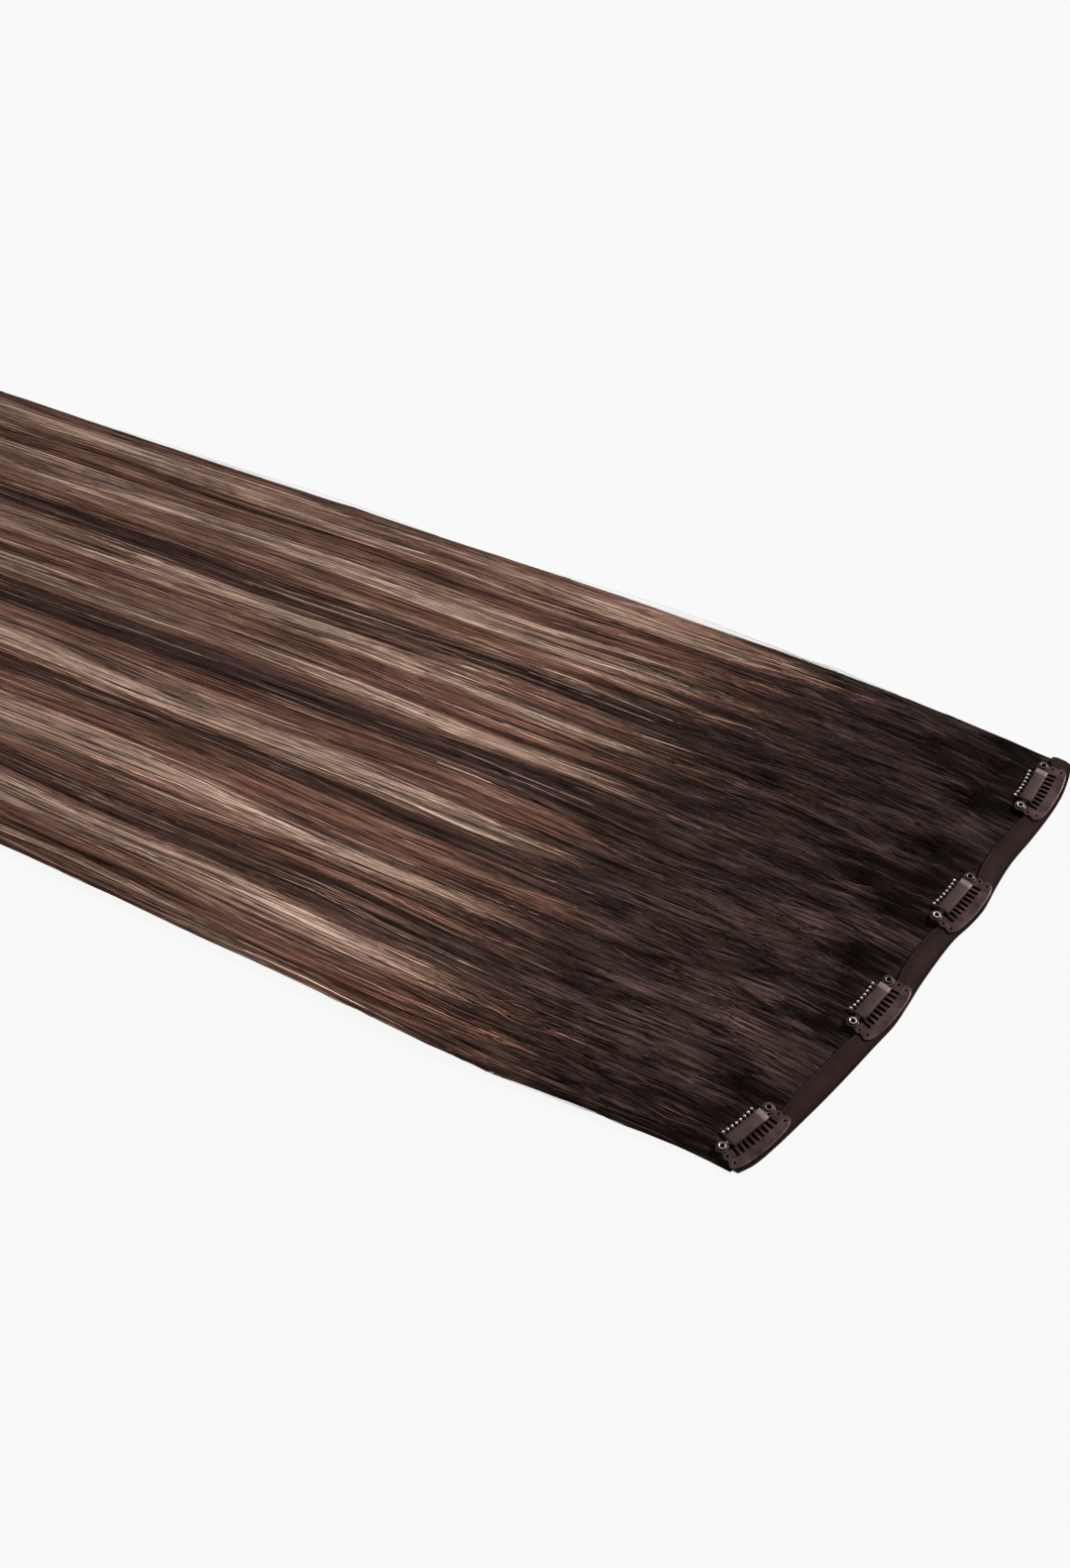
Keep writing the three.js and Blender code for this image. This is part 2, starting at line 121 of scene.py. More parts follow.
# The hair: heights over its underside, distances from the band, and shares of its length or of a lock. A pair
# is where something begins and where it is full.
HAIR = {
    "length": 610, "full_height": 8, "side_height": 0.6, "side_reach": 0.05, "locks": 13,
    "width_spread": 0.7, "overlap": 1.16, "height_spread": 0.1, "end_spread": 0.07,
    "shortest_taper": 0.06, "taper_spread": 0.1, "edge_drop": 0.1, "tip_width": 0.04,
    "tip_height": 0.12, "relief": 0.05, "relief_along": (20, 90), "wander": 1.1,
    "wander_along": (40, 200), "wander_across": (0, 0.04),
}
CLIP_DENT = {"depth": 0.3, "half_width": 16, "distance": 28, "reach": 19}
HAIR_RUN = table(
    "along near far height",
    (0, 0, 0, 0.12), (0.022, 1.2, 0.3, 0.15), (0.0285, 1.4, 0.4, 0.27), (0.05, 1.8, 0.7, 0.64),
    (0.092, 0.7, 1.6, 0.88), (0.175, 0, 3.3, 0.98), (0.295, 3.2, 3.2, 1), (0.46, 7.5, 1.4, 0.9),
    (0.645, 10.5, -0.8, 0.72), (0.8, 11, -2.2, 0.55), (0.92, 11, -2.6, 0.4), (1, 11, -2.8, 0.25),
)

# Strands are roof-shaped ribbons, made in batches. A pair is the least and the most of an even spread, or
# where a change begins and ends.
STRANDS = {
    "batches": 4, "count": 2950, "seed": 21, "segments": 16, "crowding": 1.6, "width": 0.3,
    "width_spread": 0.35, "thinning": 0.85, "thin_along": (0.86, 1), "roll": 0.6, "roof": 0.4,
    "side_share": 0.09, "side_across": (0.93, 1), "side_level": (0.02, 0.95), "depth": 0.3,
    "depth_power": 2.5, "start": (2.5, 8.5), "short_by": 0.16, "short_power": 1.7,
    "free_along": (12, 60), "wave_length": (40, 150), "wave": 0.45, "drift": 0.9, "combed": 0.5,
    "rise": 0.16, "lowest": 0.1, "bake_columns": 8,
}
FLYAWAYS = {
    "count": 260, "seed": 91, "segments": 20, "width": 0.13, "thinning": 0.6, "roll": 0.6,
    "side_share": 0.45, "side_across": 0.98, "side_level": (0.2, 0.9), "start": (10, 380),
    "length": (60, 200), "lean": 0.035, "over_top": 0.15, "lift": 1.6, "stray": 2.6,
}
CROSSING = {
    "count": 2400, "seed": 61, "segments": 9, "width": 0.22, "thinning": 0.5, "roll": 0.7,
    "side": 0.98, "start": (9, 110), "length": (25, 80), "lean": 0.05, "lean_across": (0, 0.02),
    "hump": 0.25, "sunk": 0.15,
}

# The dense inside of each lock, as a share of the lock, and how it is toned, its shade being painted shade
# under the strands.
CORE = {"share": 0.86, "sides": 13, "stations": 44, "lowest": 0.15, "own": 0.4, "shade": 0.5}

# How much a strand's tone differs from its streak's: how many stray and how far, and the spreads.
TONE = {"straying": 0.25, "stray": 0.04, "start": 0.6, "home": 0.003, "own": 0.18, "fade": 0.22}

# The streaks across the hair: where each is, how wide and light it is, and where its colour starts.
STREAKS = table(
    "across half_width light start",
    (0.008, 0.012, 0.62, 88), (0.045, 0.03, 0.42, 98), (0.1, 0.026, 0.95, 112),
    (0.155, 0.03, 0.12, 150), (0.205, 0.022, 0.5, 128), (0.252, 0.026, 0.9, 138),
    (0.31, 0.034, 0.45, 120), (0.362, 0.02, 0.15, 150), (0.408, 0.026, 0.98, 146),
    (0.462, 0.03, 0.48, 132), (0.52, 0.03, 0.06, 160), (0.572, 0.024, 0.85, 128),
    (0.625, 0.032, 0.4, 142), (0.682, 0.026, 0.92, 118), (0.738, 0.03, 0.14, 150),
    (0.79, 0.024, 0.55, 130), (0.842, 0.026, 0.88, 122), (0.898, 0.03, 0.4, 110),
    (0.95, 0.024, 0.8, 98), (0.99, 0.014, 0.45, 90),
)
STREAK_START = {"feather": 55, "point": 42, "jitter": 24}

# Painted shade near the roots: how strong its patches of painted sheen and shade are and where they fade, a
# painted contact shadow at the band and a painted shadow toward the far side, how much the strands swing and
# rise, and the dark spots of painted shade in front of each clip, where the hair is pressed down, placed from
# its middle and from the band's outer edge.
ROOT_SHADE = {
    "patches": 0.4, "mottle": 0.05, "full_to": 90, "gone_at": 190, "at_band": 0.5, "clear_from": 10,
    "clear_of_band": 38, "near_side": 1.25, "far_side": 0.5, "spot_edge": 0.5, "spot_mottle": 0.5,
}
ROOT_WAVE = {
    "swing": 1.3, "swing_middle": 0.6, "swing_spread": 0.8, "rise": 0.5, "across": (0.01, 0.06),
    "from": 14, "full_from": 34, "full_to": 110, "gone_at": 200,
}
ROOT_SHADE_SPOTS = table(
    "aside distance half_width reach dark",
    (-14, 23, 10, 17, 0.95), (4, 21, 12, 11, 0.93), (20, 25, 10, 18, 0.95), (-3, 51, 10, 16, 0.8),
)

# The floor: half its side in metres, its glow and its greys.
FLOOR = {"half_side": 12, "glow": 0.905, "greys": (0.028, 0.032)}

# The light: strengths all round and behind, and three round lamps in metres and watts.
STUDIO = {
    "around": 0.16,
    "backdrop": 0.94,
    "key": {"place": (3.0, 3.6, 3.6), "target": (0.1, 0, 0), "size": 1.8, "watts": 440},
    "fill": {"place": (-3.6, -2.0, 4.2), "target": (0.1, 0, 0), "size": 3.6, "watts": 90},
    "glint": {"place": (-1.1, 4.8, 3.4), "target": (0.3, 0, 0), "size": 0.9, "watts": 45},
}

# Derived sizes.
RING_INSET = PLATE["depth"] + PLATE["back_margin"]
BAND_WIDTH = BAND["width_share"] * RING_INSET
BAND_BOTTOM = ROOT_LAYER + GAP
BAND_TOP = BAND_BOTTOM + BAND["thickness"]
PLATE_BOTTOM = BAND_TOP + GAP
BOW_BOTTOM = PLATE["thickness"] + GAP
FLANGE_BOTTOM = BOW_BOTTOM + BOW["thickness"] + GAP
SLEEVE_HEIGHT = BOW["thickness"] + 2 * GAP + 2 * SLEEVE["wall"]
RIVET_HOLE = EYELET["barrel"] + GAP
BOW_PAD_EDGE = PLATE["ring_half_span"] - RIVET_HOLE - BOW["pad_margin"]


def new_object(name, data):
    thing = bpy.data.objects.new(name, data)
    bpy.context.scene.collection.objects.link(thing)
    return thing


def make_camera():
    azimuth = math.radians(CAMERA["azimuth"])
    elevation = math.radians(CAMERA["elevation"])
    back = Vector((
        math.sin(azimuth) * math.cos(elevation),
        -math.cos(azimuth) * math.cos(elevation),
        math.sin(elevation),
    ))
    data = bpy.data.cameras.new("camera")
    data.lens = CAMERA["lens"]
    data.sensor_width = CAMERA["sensor"]
    data.clip_start, data.clip_end = CAMERA["clip"]
    camera = new_object("camera", data)
    camera.location = (Vector(CAMERA["target"]) + back * CAMERA["distance"]) * MM
    camera.rotation_euler = back.to_track_quat("Z", "Y").to_euler()
    bpy.context.scene.camera = camera


make_camera()


# Tables, curves and smooth random fields.

def column(rows, name):
    return np.array([row[name] for row in rows], float)


def blend(rows, along, name):
    """A named column of a table, read between its rows."""
    return np.interp(along, column(rows, "along"), column(rows, name))


def stacked(*values):
    """Values spread to one shape, as the numbers of points along a new last axis."""
    return np.stack(np.broadcast_arrays(*values), -1)


def smoothstep(value, low, high):
    share = np.clip((value - low) / (high - low), 0, 1)
    return share * share * (3 - 2 * share)


def bump(distance, reach):
    """A smooth hump: 1 in the middle and 0 from its reach on."""
    return np.cos(np.minimum(np.abs(distance) / reach, 1) * math.pi / 2) ** 2


def smooth_curve(points, steps):
    """A centripetal Catmull-Rom curve through the points."""
    points = [np.array(point, float) for point in points]
    ends = [2 * points[0] - points[1], *points, 2 * points[-1] - points[-2]]
    curve = []
    for p0, p1, p2, p3 in zip(ends, ends[1:], ends[2:], ends[3:]):
        d0, d1, d2 = (math.sqrt(np.linalg.norm(b - a)) for a, b in ((p0, p1), (p1, p2), (p2, p3)))
        m1 = d1 * ((p1 - p0) / d0 - (p2 - p0) / (d0 + d1) + (p2 - p1) / d1)
        m2 = d1 * ((p2 - p1) / d1 - (p3 - p1) / (d1 + d2) + (p3 - p2) / d2)
        for t in np.arange(steps) / steps:
            h1 = 2 * t**3 - 3 * t**2 + 1
            h2 = t**3 - 2 * t**2 + t
            h3 = -2 * t**3 + 3 * t**2
            h4 = t**3 - t**2
            curve.append(h1 * p1 + h2 * m1 + h3 * p2 + h4 * m2)
    return np.array([*curve, points[-1]])


def even_sequence(seed):
    """A small fixed sequence of even random numbers between 0 and 1."""
    state = seed
    while True:
        state = state * 16807 % 2147483647
        yield state / 2147483647


class Field:
    """A smooth random field over the hair, about -1 to 1, made of a few waves.

    It is read by the share of the band's length and the distance from the band.
    """

    def __init__(self, seed, across, along, waves=6):
        random = np.random.default_rng(seed)
        self.across = random.uniform(0.6, 1.6, waves) / across * random.choice((-1, 1), waves)
        self.along = random.uniform(0.6, 1.6, waves) / along
        self.phase = random.uniform(0, 2 * math.pi, waves)

    def __call__(self, across, distance):
        run = across * BAND_LENGTH
        total = 0
        for k_across, k_along, phase in zip(self.across, self.along, self.phase):
            total = total + np.sin(2 * math.pi * (run * k_across + distance * k_along) + phase)
        return total / math.sqrt(len(self.phase))


# The band's outer edge, placed by the clips' eyelets.

def edge_points():
    lean = math.radians(BAND["lean"])
    along = (column(EDGE_BENDS, "along") - 0.5) * BAND["chord"]
    out = column(EDGE_BENDS, "out") * BAND["rise"]
    x = along * math.cos(lean) + out * math.sin(lean)
    y = along * math.sin(lean) - out * math.cos(lean)
    return smooth_curve(np.stack([x, y], 1), 40)


EDGE = edge_points()
EDGE_RUN = np.concatenate([[0], np.cumsum(np.linalg.norm(np.diff(EDGE, axis=0), axis=1))])
BAND_LENGTH = EDGE_RUN[-1]


def on_edge(along):
    run = np.clip(along, 0, 1) * BAND_LENGTH
    return stacked(np.interp(run, EDGE_RUN, EDGE[:, 0]), np.interp(run, EDGE_RUN, EDGE[:, 1]))


def inward(along):
    """The direction from the band's outer edge toward the hair."""
    angle = np.radians(BAND["lean"] + (along - 0.5) * BAND["turn"] + 90)
    return stacked(np.cos(angle), np.sin(angle))


def middle_of(node):
    low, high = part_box(node)
    return np.array((low + high) / 2) / MM


def clip_ends(number):
    return middle_of(f"eyelet_{number}_near")[:2], middle_of(f"eyelet_{number}_far")[:2]


def frame_shift():
    """How far the built frame lies from the one that the edge is worked out in."""
    built = [sum(clip_ends(k + 1)) / 2 for k in range(CLIPS)]
    drawn = [on_edge(along) + RING_INSET * inward(along) for along in CLIP_PLACES]
    return np.mean(np.array(built) - np.array(drawn), axis=0)


SHIFT = frame_shift()


def on_band(along, inset):
    return on_edge(along) + SHIFT + np.asarray(inset)[..., None] * inward(along)


def band_width(along):
    """The inner edge draws back from the two eyelets of each clip."""
    half = PLATE["ring_half_span"]
    nearness = [
        bump((along - place) * BAND_LENGTH - side * half, half) for place in CLIP_PLACES for side in (-1, 1)
    ]
    return RING_INSET * (BAND["width_share"] - BAND["eyelet_draw"] * np.max(nearness, axis=0))


# Meshes and pieces.

def make_mesh(name, points, faces, sharp):
    """A closed mesh from points in millimetres, smooth except at edges sharper than the given angle."""
    mesh = bpy.data.meshes.new(name)
    mesh.from_pydata((np.asarray(points).reshape(-1, 3) * MM).tolist(), [], faces_triangled(faces))
    mesh.polygons.foreach_set("use_smooth", np.ones(len(mesh.polygons), bool))
    mesh.set_sharp_from_angle(angle=math.radians(sharp))
    mesh.update()
    work = bmesh.new()
    work.from_mesh(mesh)
    bmesh.ops.recalc_face_normals(work, faces=work.faces)
    work.to_mesh(mesh)
    work.free()
    return mesh


def faces_triangled(faces):
    """Long end caps as fans of triangles, so that every face has three or four corners."""
    simple = []
    for face in faces:
        if len(face) <= 4:
            simple.append(list(face))
        else:
            simple += [[face[0], b, c] for b, c in zip(face[1:], face[2:])]
    return simple


def grid_faces(rows, columns, close_rows=False, close_columns=False):
    """The quads of a grid of points, closed round on itself in either way where asked."""
    row = np.arange(rows if close_rows else rows - 1)
    col = np.arange(columns if close_columns else columns - 1)
    a, b = np.meshgrid(row, col, indexing="ij")
    a2 = (a + 1) % rows
    b2 = (b + 1) % columns
    quads = [a * columns + b, a * columns + b2, a2 * columns + b2, a2 * columns + b]
    return np.stack(quads, -1).reshape(-1, 4)


def capped_loft(sections):
    """Points and faces of a closed body through a row of closed sections."""
    sections = np.asarray(sections, float)
    rows, columns = sections.shape[:2]
    faces = grid_faces(rows, columns, close_columns=True)[:, ::-1].tolist()
    faces.append(list(range(columns)))
    faces.append(list(range(rows * columns - 1, (rows - 1) * columns - 1, -1)))
    return sections.reshape(-1, 3), faces


def joined(parts):
    """Several (points, faces) as one."""
    points, faces, count = [], [], 0
    for part_points, part_faces in parts:
        points.append(part_points)
        faces += [[index + count for index in face] for face in part_faces]
        count += len(part_points)
    return np.concatenate(points), faces


def add_piece(name, mesh, material, replaces=None):
    piece = new_object(name, mesh)
    mesh.materials.append(material)
    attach(piece, "root")
    if replaces:
        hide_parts(replaces)


# Materials.

class Nodes:
    """Short forms for the nodes of one material or world."""

    def __init__(self, tree):
        self.tree = tree

    def feed(self, socket, value):
        """Links a socket to another one, or sets it to a value."""
        if isinstance(value, bpy.types.NodeSocket):
            self.tree.links.new(value, socket)
        else:
            socket.default_value = value

    def add(self, kind, inputs=None, **settings):
        node = self.tree.nodes.new("ShaderNode" + kind)
        for key, value in settings.items():
            setattr(node, key, value)
        for key, value in (inputs or {}).items():
            self.feed(node.inputs[key], value)
        return node

    def place(self):
        return self.add("TexCoord").outputs["Object"]

    def attribute(self, name):
        return self.add("Attribute", attribute_name=name).outputs["Vector"]

    def parts(self, vector):
        return self.add("SeparateXYZ", {0: vector}).outputs

    def noise(self, vector, scale, detail=3, roughness=0.55):
        inputs = {"Vector": vector, "Scale": scale, "Detail": detail, "Roughness": roughness}
        return self.add("TexNoise", inputs).outputs[0]

    def threads(self, vector, scale, distortion, way):
        inputs = {"Vector": vector, "Scale": scale, "Distortion": distortion}
        return self.add("TexWave", inputs, bands_direction=way).outputs[1]

    def math(self, operation, a, b):
        return self.add("Math", {0: a, 1: b}, operation=operation).outputs[0]

    def product(self, value, *others):
        for other in others:
            value = self.math("MULTIPLY", value, other)
        return value

    def remap(self, value, low, high, to_low, to_high):
        """A value carried from one range to another and kept within it."""
        return self.add("MapRange", {0: value, 1: low, 2: high, 3: to_low, 4: to_high}).outputs[0]

    def mix(self, factor, a, b, blend_type="MIX"):
        return self.add("Mix", {0: factor, 6: a, 7: b}, data_type="RGBA", blend_type=blend_type).outputs[2]

    def ramp(self, factor, *stops):
        """A colour ramp with smooth steps between (place, colour) stops."""
        node = self.add("ValToRGB", {0: factor})
        node.color_ramp.interpolation = "EASE"
        elements = node.color_ramp.elements
        while len(elements) < len(stops):
            elements.new(0.5)
        for element, (place, colour) in zip(elements, stops):
            element.position = place
            element.color = (*colour, 1)
        return node.outputs[0]

    def shades(self, cloudy, dark, light):
        """From dark to light by a noise."""
        return self.ramp(cloudy, (0.3, dark), (0.7, light))

    def scaled(self, vector, scale):
        return self.add("Mapping", {"Vector": vector, "Scale": scale}).outputs[0]

    def bumped(self, height, distance):
        return self.add("Bump", {"Height": height, "Distance": distance, "Strength": 1.0}).outputs[0]


class Look(Nodes):
    """The nodes of a new material, with the given values on its shader's own sockets."""

    def __init__(self, name, **values):
        self.material = bpy.data.materials.new(name)
        self.material.use_nodes = True
        super().__init__(self.material.node_tree)
        self.shader = self.tree.nodes["Principled BSDF"]
        self.made(**values)

    def made(self, **values):
        """Sets or links sockets of the shader, and returns the material."""
        for key, value in values.items():
            self.feed(self.shader.inputs[key.replace("_", " ")], value)
        return self.material


HAIR_COLOURS = (
    (0.0, (0.026, 0.0152, 0.0128)),
    (0.16, (0.032, 0.018, 0.0145)),
    (0.45, (0.116, 0.053, 0.037)),
    (0.7, (0.19, 0.109, 0.078)),
    (1.0, (0.36, 0.25, 0.19)),
)
# Four noises over the hair: how far each is stretched along the strands, its scale, detail and roughness.
HAIR_GRAIN = {
    "patches": ((1, 0.25, 0), 60, 2, 0.55),
    "short": ((1, 0.02, 0), 1650, 2, 0.6),
    "long": ((1, 0.006, 0), 1350, 3, 0.6),
    "fibres": ((1, 0.04, 1), 2400, 2, 0.55),
}
WARM = (1, 0.66, 0.56, 1)


def hair_material(name):
    """Strand colour from each point's tone: how light it is, the strand's own number, and its painted shade.
    """
    look = Look(name, Specular_Tint=WARM, Specular_IOR_Level=0.16)
    light, own, shade = look.parts(look.attribute("tone"))
    lay = look.attribute("lay")
    distance = look.parts(lay)[1]
    grain = {
        key: look.noise(look.scaled(lay, stretch), *rest) for key, (stretch, *rest) in HAIR_GRAIN.items()
    }
    patches = grain["patches"]
    far = look.remap(distance, 0.09, 0.17, 0, 1)
    wisps = look.add("Mix", {0: far, 2: grain["short"], 3: grain["long"]}).outputs[0]
    colour = look.ramp(look.math("ADD", light, look.remap(wisps, 0.3, 0.7, -0.1, 0.1)), *HAIR_COLOURS)
    fibres = look.remap(grain["fibres"], 0.35, 0.65, -0.5, 0.5)
    # Light and dark wisps: partly the strands' own tone, partly painted highlight on groups of strands.
    uneven = look.math("ADD", look.remap(wisps, 0.39, 0.61, -0.95, 1.75), fibres)
    contrast = look.remap(light, 0, 0.5, 1, 0.5)
    brightness = look.product(
        look.math("ADD", look.product(uneven, contrast), 1),
        look.remap(own, 0, 1, 0.35, 1.75),
        look.remap(patches, 0.3, 0.7, 0.82, 1.18),
        # Darker from 140 to 460 mm from the band, partly as painted shade, and then by the painted shade in
        # the tone.
        look.remap(distance, 0.14, 0.46, 1, 0.66),
        shade,
    )
    grey = look.add("CombineXYZ", dict.fromkeys(range(3), brightness)).outputs[0]
    rough = look.product(look.remap(wisps, 0.38, 0.62, 0.9, 0.34), look.remap(patches, 0.3, 0.7, 0.9, 1.1))
    return look.made(
        Base_Color=look.mix(1.0, colour, grey, "MULTIPLY"),
        Roughness=look.math("MAXIMUM", rough, look.remap(shade, 0.1, 0.7, 1, 0.3)),
        Normal=look.bumped(wisps, 0.0014),
    )


# Painted shading across the band, from its outer edge (0) to its inner edge (1): a dark rolled rim in painted
# shade, a lighter crown, and at the hem a dark crease of painted shade beside a painted highlight along the
# hem line.
BAND_PAINTED_SHADING = (
    (0.0, (0.4, 0.36, 0.36)),
    (0.1, (0.55, 0.5, 0.5)),
    (0.2, (1.05, 1, 0.98)),
    (0.5, (1.25, 1.2, 1.18)),
    (0.82, (1.0, 1.0, 1.0)),
    (0.86, (0.6, 0.6, 0.6)),
    (0.9, (1.3, 1.25, 1.22)),
    (1.0, (0.7, 0.7, 0.7)),
)


def band_material():
    """A tight smooth weave, with painted shading across it: dark at its rolled rim and in the hem's crease,
    lighter on its crown and in a painted highlight along the hem.
    """
    look = Look("band_fabric", Roughness=0.66, Specular_IOR_Level=0.1, Specular_Tint=WARM)
    lay = look.attribute("lay")
    threads = look.product(*(look.threads(lay, 900, 0.6, way) for way in "XY"))
    colour = look.shades(look.noise(lay, 70), (0.0122, 0.0065, 0.0056), (0.0228, 0.0130, 0.0114))
    dark = look.mix(look.remap(threads, 0, 1, 0.25, 0), colour, (0.012, 0.007, 0.006, 1))
    painted_shading = look.ramp(look.remap(look.parts(lay)[1], 0, BAND_WIDTH * MM, 0, 1), *BAND_PAINTED_SHADING)
    return look.made(Base_Color=look.mix(1.0, dark, painted_shading, "MULTIPLY"), Normal=look.bumped(threads, 0.00006))


def edge_mask(look, radius):
    """About 0 on flat faces and rising on bent edges."""
    round_normal = look.add("Bevel", {"Radius": radius}, samples=4).outputs[0]
    normal = look.add("NewGeometry").outputs["Normal"]
    alike = look.add("VectorMath", {0: round_normal, 1: normal}, operation="DOT_PRODUCT").outputs["Value"]
    return look.remap(alike, 0.99, 0.86, 0, 1)


def enamel_material():
    """Satin brown enamel on steel, rubbed lighter along its edges."""
    look = Look("plate_enamel", Specular_Tint=WARM, Specular_IOR_Level=0.35)
    cloudy = look.noise(look.place(), 240)
    base = look.shades(cloudy, (0.023, 0.0125, 0.0122), (0.044, 0.0255, 0.0245))
    wear = look.product(edge_mask(look, 0.00025), look.remap(cloudy, 0.35, 0.65, 0.15, 0.8))
    return look.made(
        Base_Color=look.mix(wear, base, (0.14, 0.1, 0.095, 1)),
        Roughness=look.remap(cloudy, 0.3, 0.7, 0.28, 0.46),
        Normal=look.bumped(look.noise(look.place(), 2600, 2), 0.00002),
    )


def tip_material():
    """The drops of enamel on the teeth's ends, glossier than the plate; their light colour is a painted
    highlight.
    """
    look = Look("tip_enamel_painted_highlight", Roughness=0.22, Metallic=0.5)
    return look.made(
        Base_Color=look.shades(look.noise(look.place(), 900, 2), (0.34, 0.28, 0.26), (0.62, 0.54, 0.51)),
        Normal=look.bumped(look.noise(look.place(), 3000, 2), 0.00002),
    )


def eyelet_material():
    """Brown-plated brass, lighter only on its rolled rim: partly rubbed bright, partly a painted highlight.
    """
    look = Look("eyelet_metal", Metallic=0.6)
    cloudy = look.noise(look.place(), 500)
    plated = look.shades(cloudy, (0.03, 0.019, 0.017), (0.06, 0.04, 0.036))
    # The rim's lighter colour: rubbed brass and a painted highlight.
    rubbed = look.shades(cloudy, (0.3, 0.26, 0.24), (0.62, 0.56, 0.53))
    return look.made(
        Base_Color=look.mix(look.parts(look.attribute("rim"))[0], plated, rubbed),
        Roughness=look.remap(cloudy, 0.3, 0.7, 0.24, 0.4),
        Normal=look.bumped(look.noise(look.scaled(look.place(), (1, 1, 6)), 1500, 2), 0.00002),
    )


def bow_material():
    """The bow's smooth enamel, glossier than the plate's."""
    look = Look("bow_enamel", Specular_Tint=WARM, Coat_Weight=0.5, Coat_Roughness=0.12)
    cloudy = look.noise(look.place(), 320)
    return look.made(
        Base_Color=look.shades(cloudy, (0.034, 0.022, 0.02), (0.062, 0.042, 0.039)),
        Roughness=look.remap(cloudy, 0.3, 0.7, 0.2, 0.34),
        Normal=look.bumped(look.noise(look.place(), 2200, 2), 0.00001),
    )


def silicone_material():
    """Matt brown silicone with faint dust, smoother at the sleeve's far end and lighter there as a painted
    highlight.
    """
    look = Look("sleeve_silicone", Specular_Tint=WARM, Specular_IOR_Level=0.3)
    cloudy = look.noise(look.place(), 300, 4)
    base = look.shades(cloudy, (0.026, 0.0158, 0.0142), (0.042, 0.027, 0.0245))
    # The painted highlight at the sleeve's far end, carried in the rim attribute.
    pressed = look.parts(look.attribute("rim"))[0]
    return look.made(
        Base_Color=look.mix(pressed, base, (0.15, 0.118, 0.108, 1)),
        Roughness=look.math("SUBTRACT", look.remap(cloudy, 0.3, 0.7, 0.5, 0.64), look.product(pressed, 0.22)),
        Normal=look.bumped(look.noise(look.place(), 900), 0.00005),
    )


def thread_material():
    """Twisted polyester thread, nearly black, partly as painted shade in the sewing holes."""
    look = Look("thread", Roughness=0.5)
    twist = look.threads(look.place(), 1400, 1, "DIAGONAL")
    colour = look.ramp(twist, (0.2, (0.005, 0.0032, 0.003)), (0.8, (0.016, 0.0105, 0.0095)))
    return look.made(Base_Color=colour, Normal=look.bumped(twist, 0.00005))


# The hair.

def lock_rows():
    """The locks, side by side with uneven widths: each one's middle, half width, end, lift and taper."""
    numbers = even_sequence(7)
    shares = [1 + HAIR["width_spread"] * (next(numbers) - 0.5) for _ in range(HAIR["locks"])]
    rows = []
    start = 0
    for share in shares:
        stop = start + share / sum(shares)
        lap = (stop - start) * (HAIR["overlap"] - 1) / 2
        left = max(start - lap, 0)
        right = min(stop + lap, 1)
        rows.append({
            "across": (left + right) / 2,
            "half_width": (right - left) / 2,
            "end": HAIR["length"] * (1 - HAIR["end_spread"] * next(numbers)),
            "lift": 1 - HAIR["height_spread"] * next(numbers),
            "taper": HAIR["length"] * (HAIR["shortest_taper"] + HAIR["taper_spread"] * next(numbers)),
        })
        start = stop
    return rows


LOCKS = lock_rows()


def hair_height(across, distance):
    """The hair thins toward its two sides and is pressed down in front of each clip."""
    side_share = HAIR["side_height"] + (1 - HAIR["side_height"]) * from_sides(across, 0, HAIR["side_reach"])
    beside = [bump((across - place) * BAND_LENGTH, CLIP_DENT["half_width"]) for place in CLIP_PLACES]
    pressed = bump(distance - CLIP_DENT["distance"], CLIP_DENT["reach"])
    dent = CLIP_DENT["depth"] * np.max(beside, axis=0) * pressed
    height = blend(HAIR_RUN, distance / HAIR["length"], "height")
    return HAIR["full_height"] * height * side_share * (1 - dent)


RELIEF = Field(11, 9, 260)
DRIFT = Field(12, 60, 240)
COMBED = Field(13, 7, 90)
SWING = Field(14, 22, 44)
RISE = Field(15, 20, 36)
ROOT_PATCHES = Field(17, 20, 46)
ROOT_MOTTLE = Field(19, 5, 13)
STREAK_FADE = Field(23, 14, 260)


def from_sides(across, low, high):
    """Rises from 0 at the hair's two sides to 1, between two shares of the band's length."""
    return smoothstep(np.minimum(across, 1 - across), low, high)


def near_roots(distance):
    """How far the root waves reach: from the band on, until the hair lies straight."""
    begun = smoothstep(distance, ROOT_WAVE["from"], ROOT_WAVE["full_from"])
    return begun * (1 - smoothstep(distance, ROOT_WAVE["full_to"], ROOT_WAVE["gone_at"]))


def in_hair(across, distance, height):
    """A point of the hair: across is the share of the band's length."""
    root = on_edge(across) + SHIFT
    along = distance / HAIR["length"]
    near = blend(HAIR_RUN, along, "near")
    far = blend(HAIR_RUN, along, "far")
    drift = near + (far - near) * across
    return stacked(root[..., 0] - distance, root[..., 1] + drift, height)


def in_lock(lock, side, level, distance):
    """A point in a lock: side is -1 to 1 across it, and level 0 to 1 up it."""
    left = np.clip((lock["end"] - distance) / lock["taper"], 0, 1)
    narrowing = np.maximum(np.sqrt(left), HAIR["tip_width"])
    thinning = np.maximum(left**0.4, HAIR["tip_height"])
    across = np.clip(lock["across"] + side * lock["half_width"] * narrowing, 0, 1)
    rounding = 1 - HAIR["edge_drop"] * side**2
    relief = 1 + HAIR["relief"] * RELIEF(across, distance) * smoothstep(distance, *HAIR["relief_along"])
    height = hair_height(across, distance) * lock["lift"] * thinning * rounding * relief * level
    height = height + level * ROOT_WAVE["rise"] * RISE(across, distance) * near_roots(distance)
    point = in_hair(across, distance, height)
    wander = HAIR["wander"] * DRIFT(across, distance) * smoothstep(distance, *HAIR["wander_along"])
    point[..., 1] += wander * from_sides(across, *HAIR["wander_across"])
    return point, across


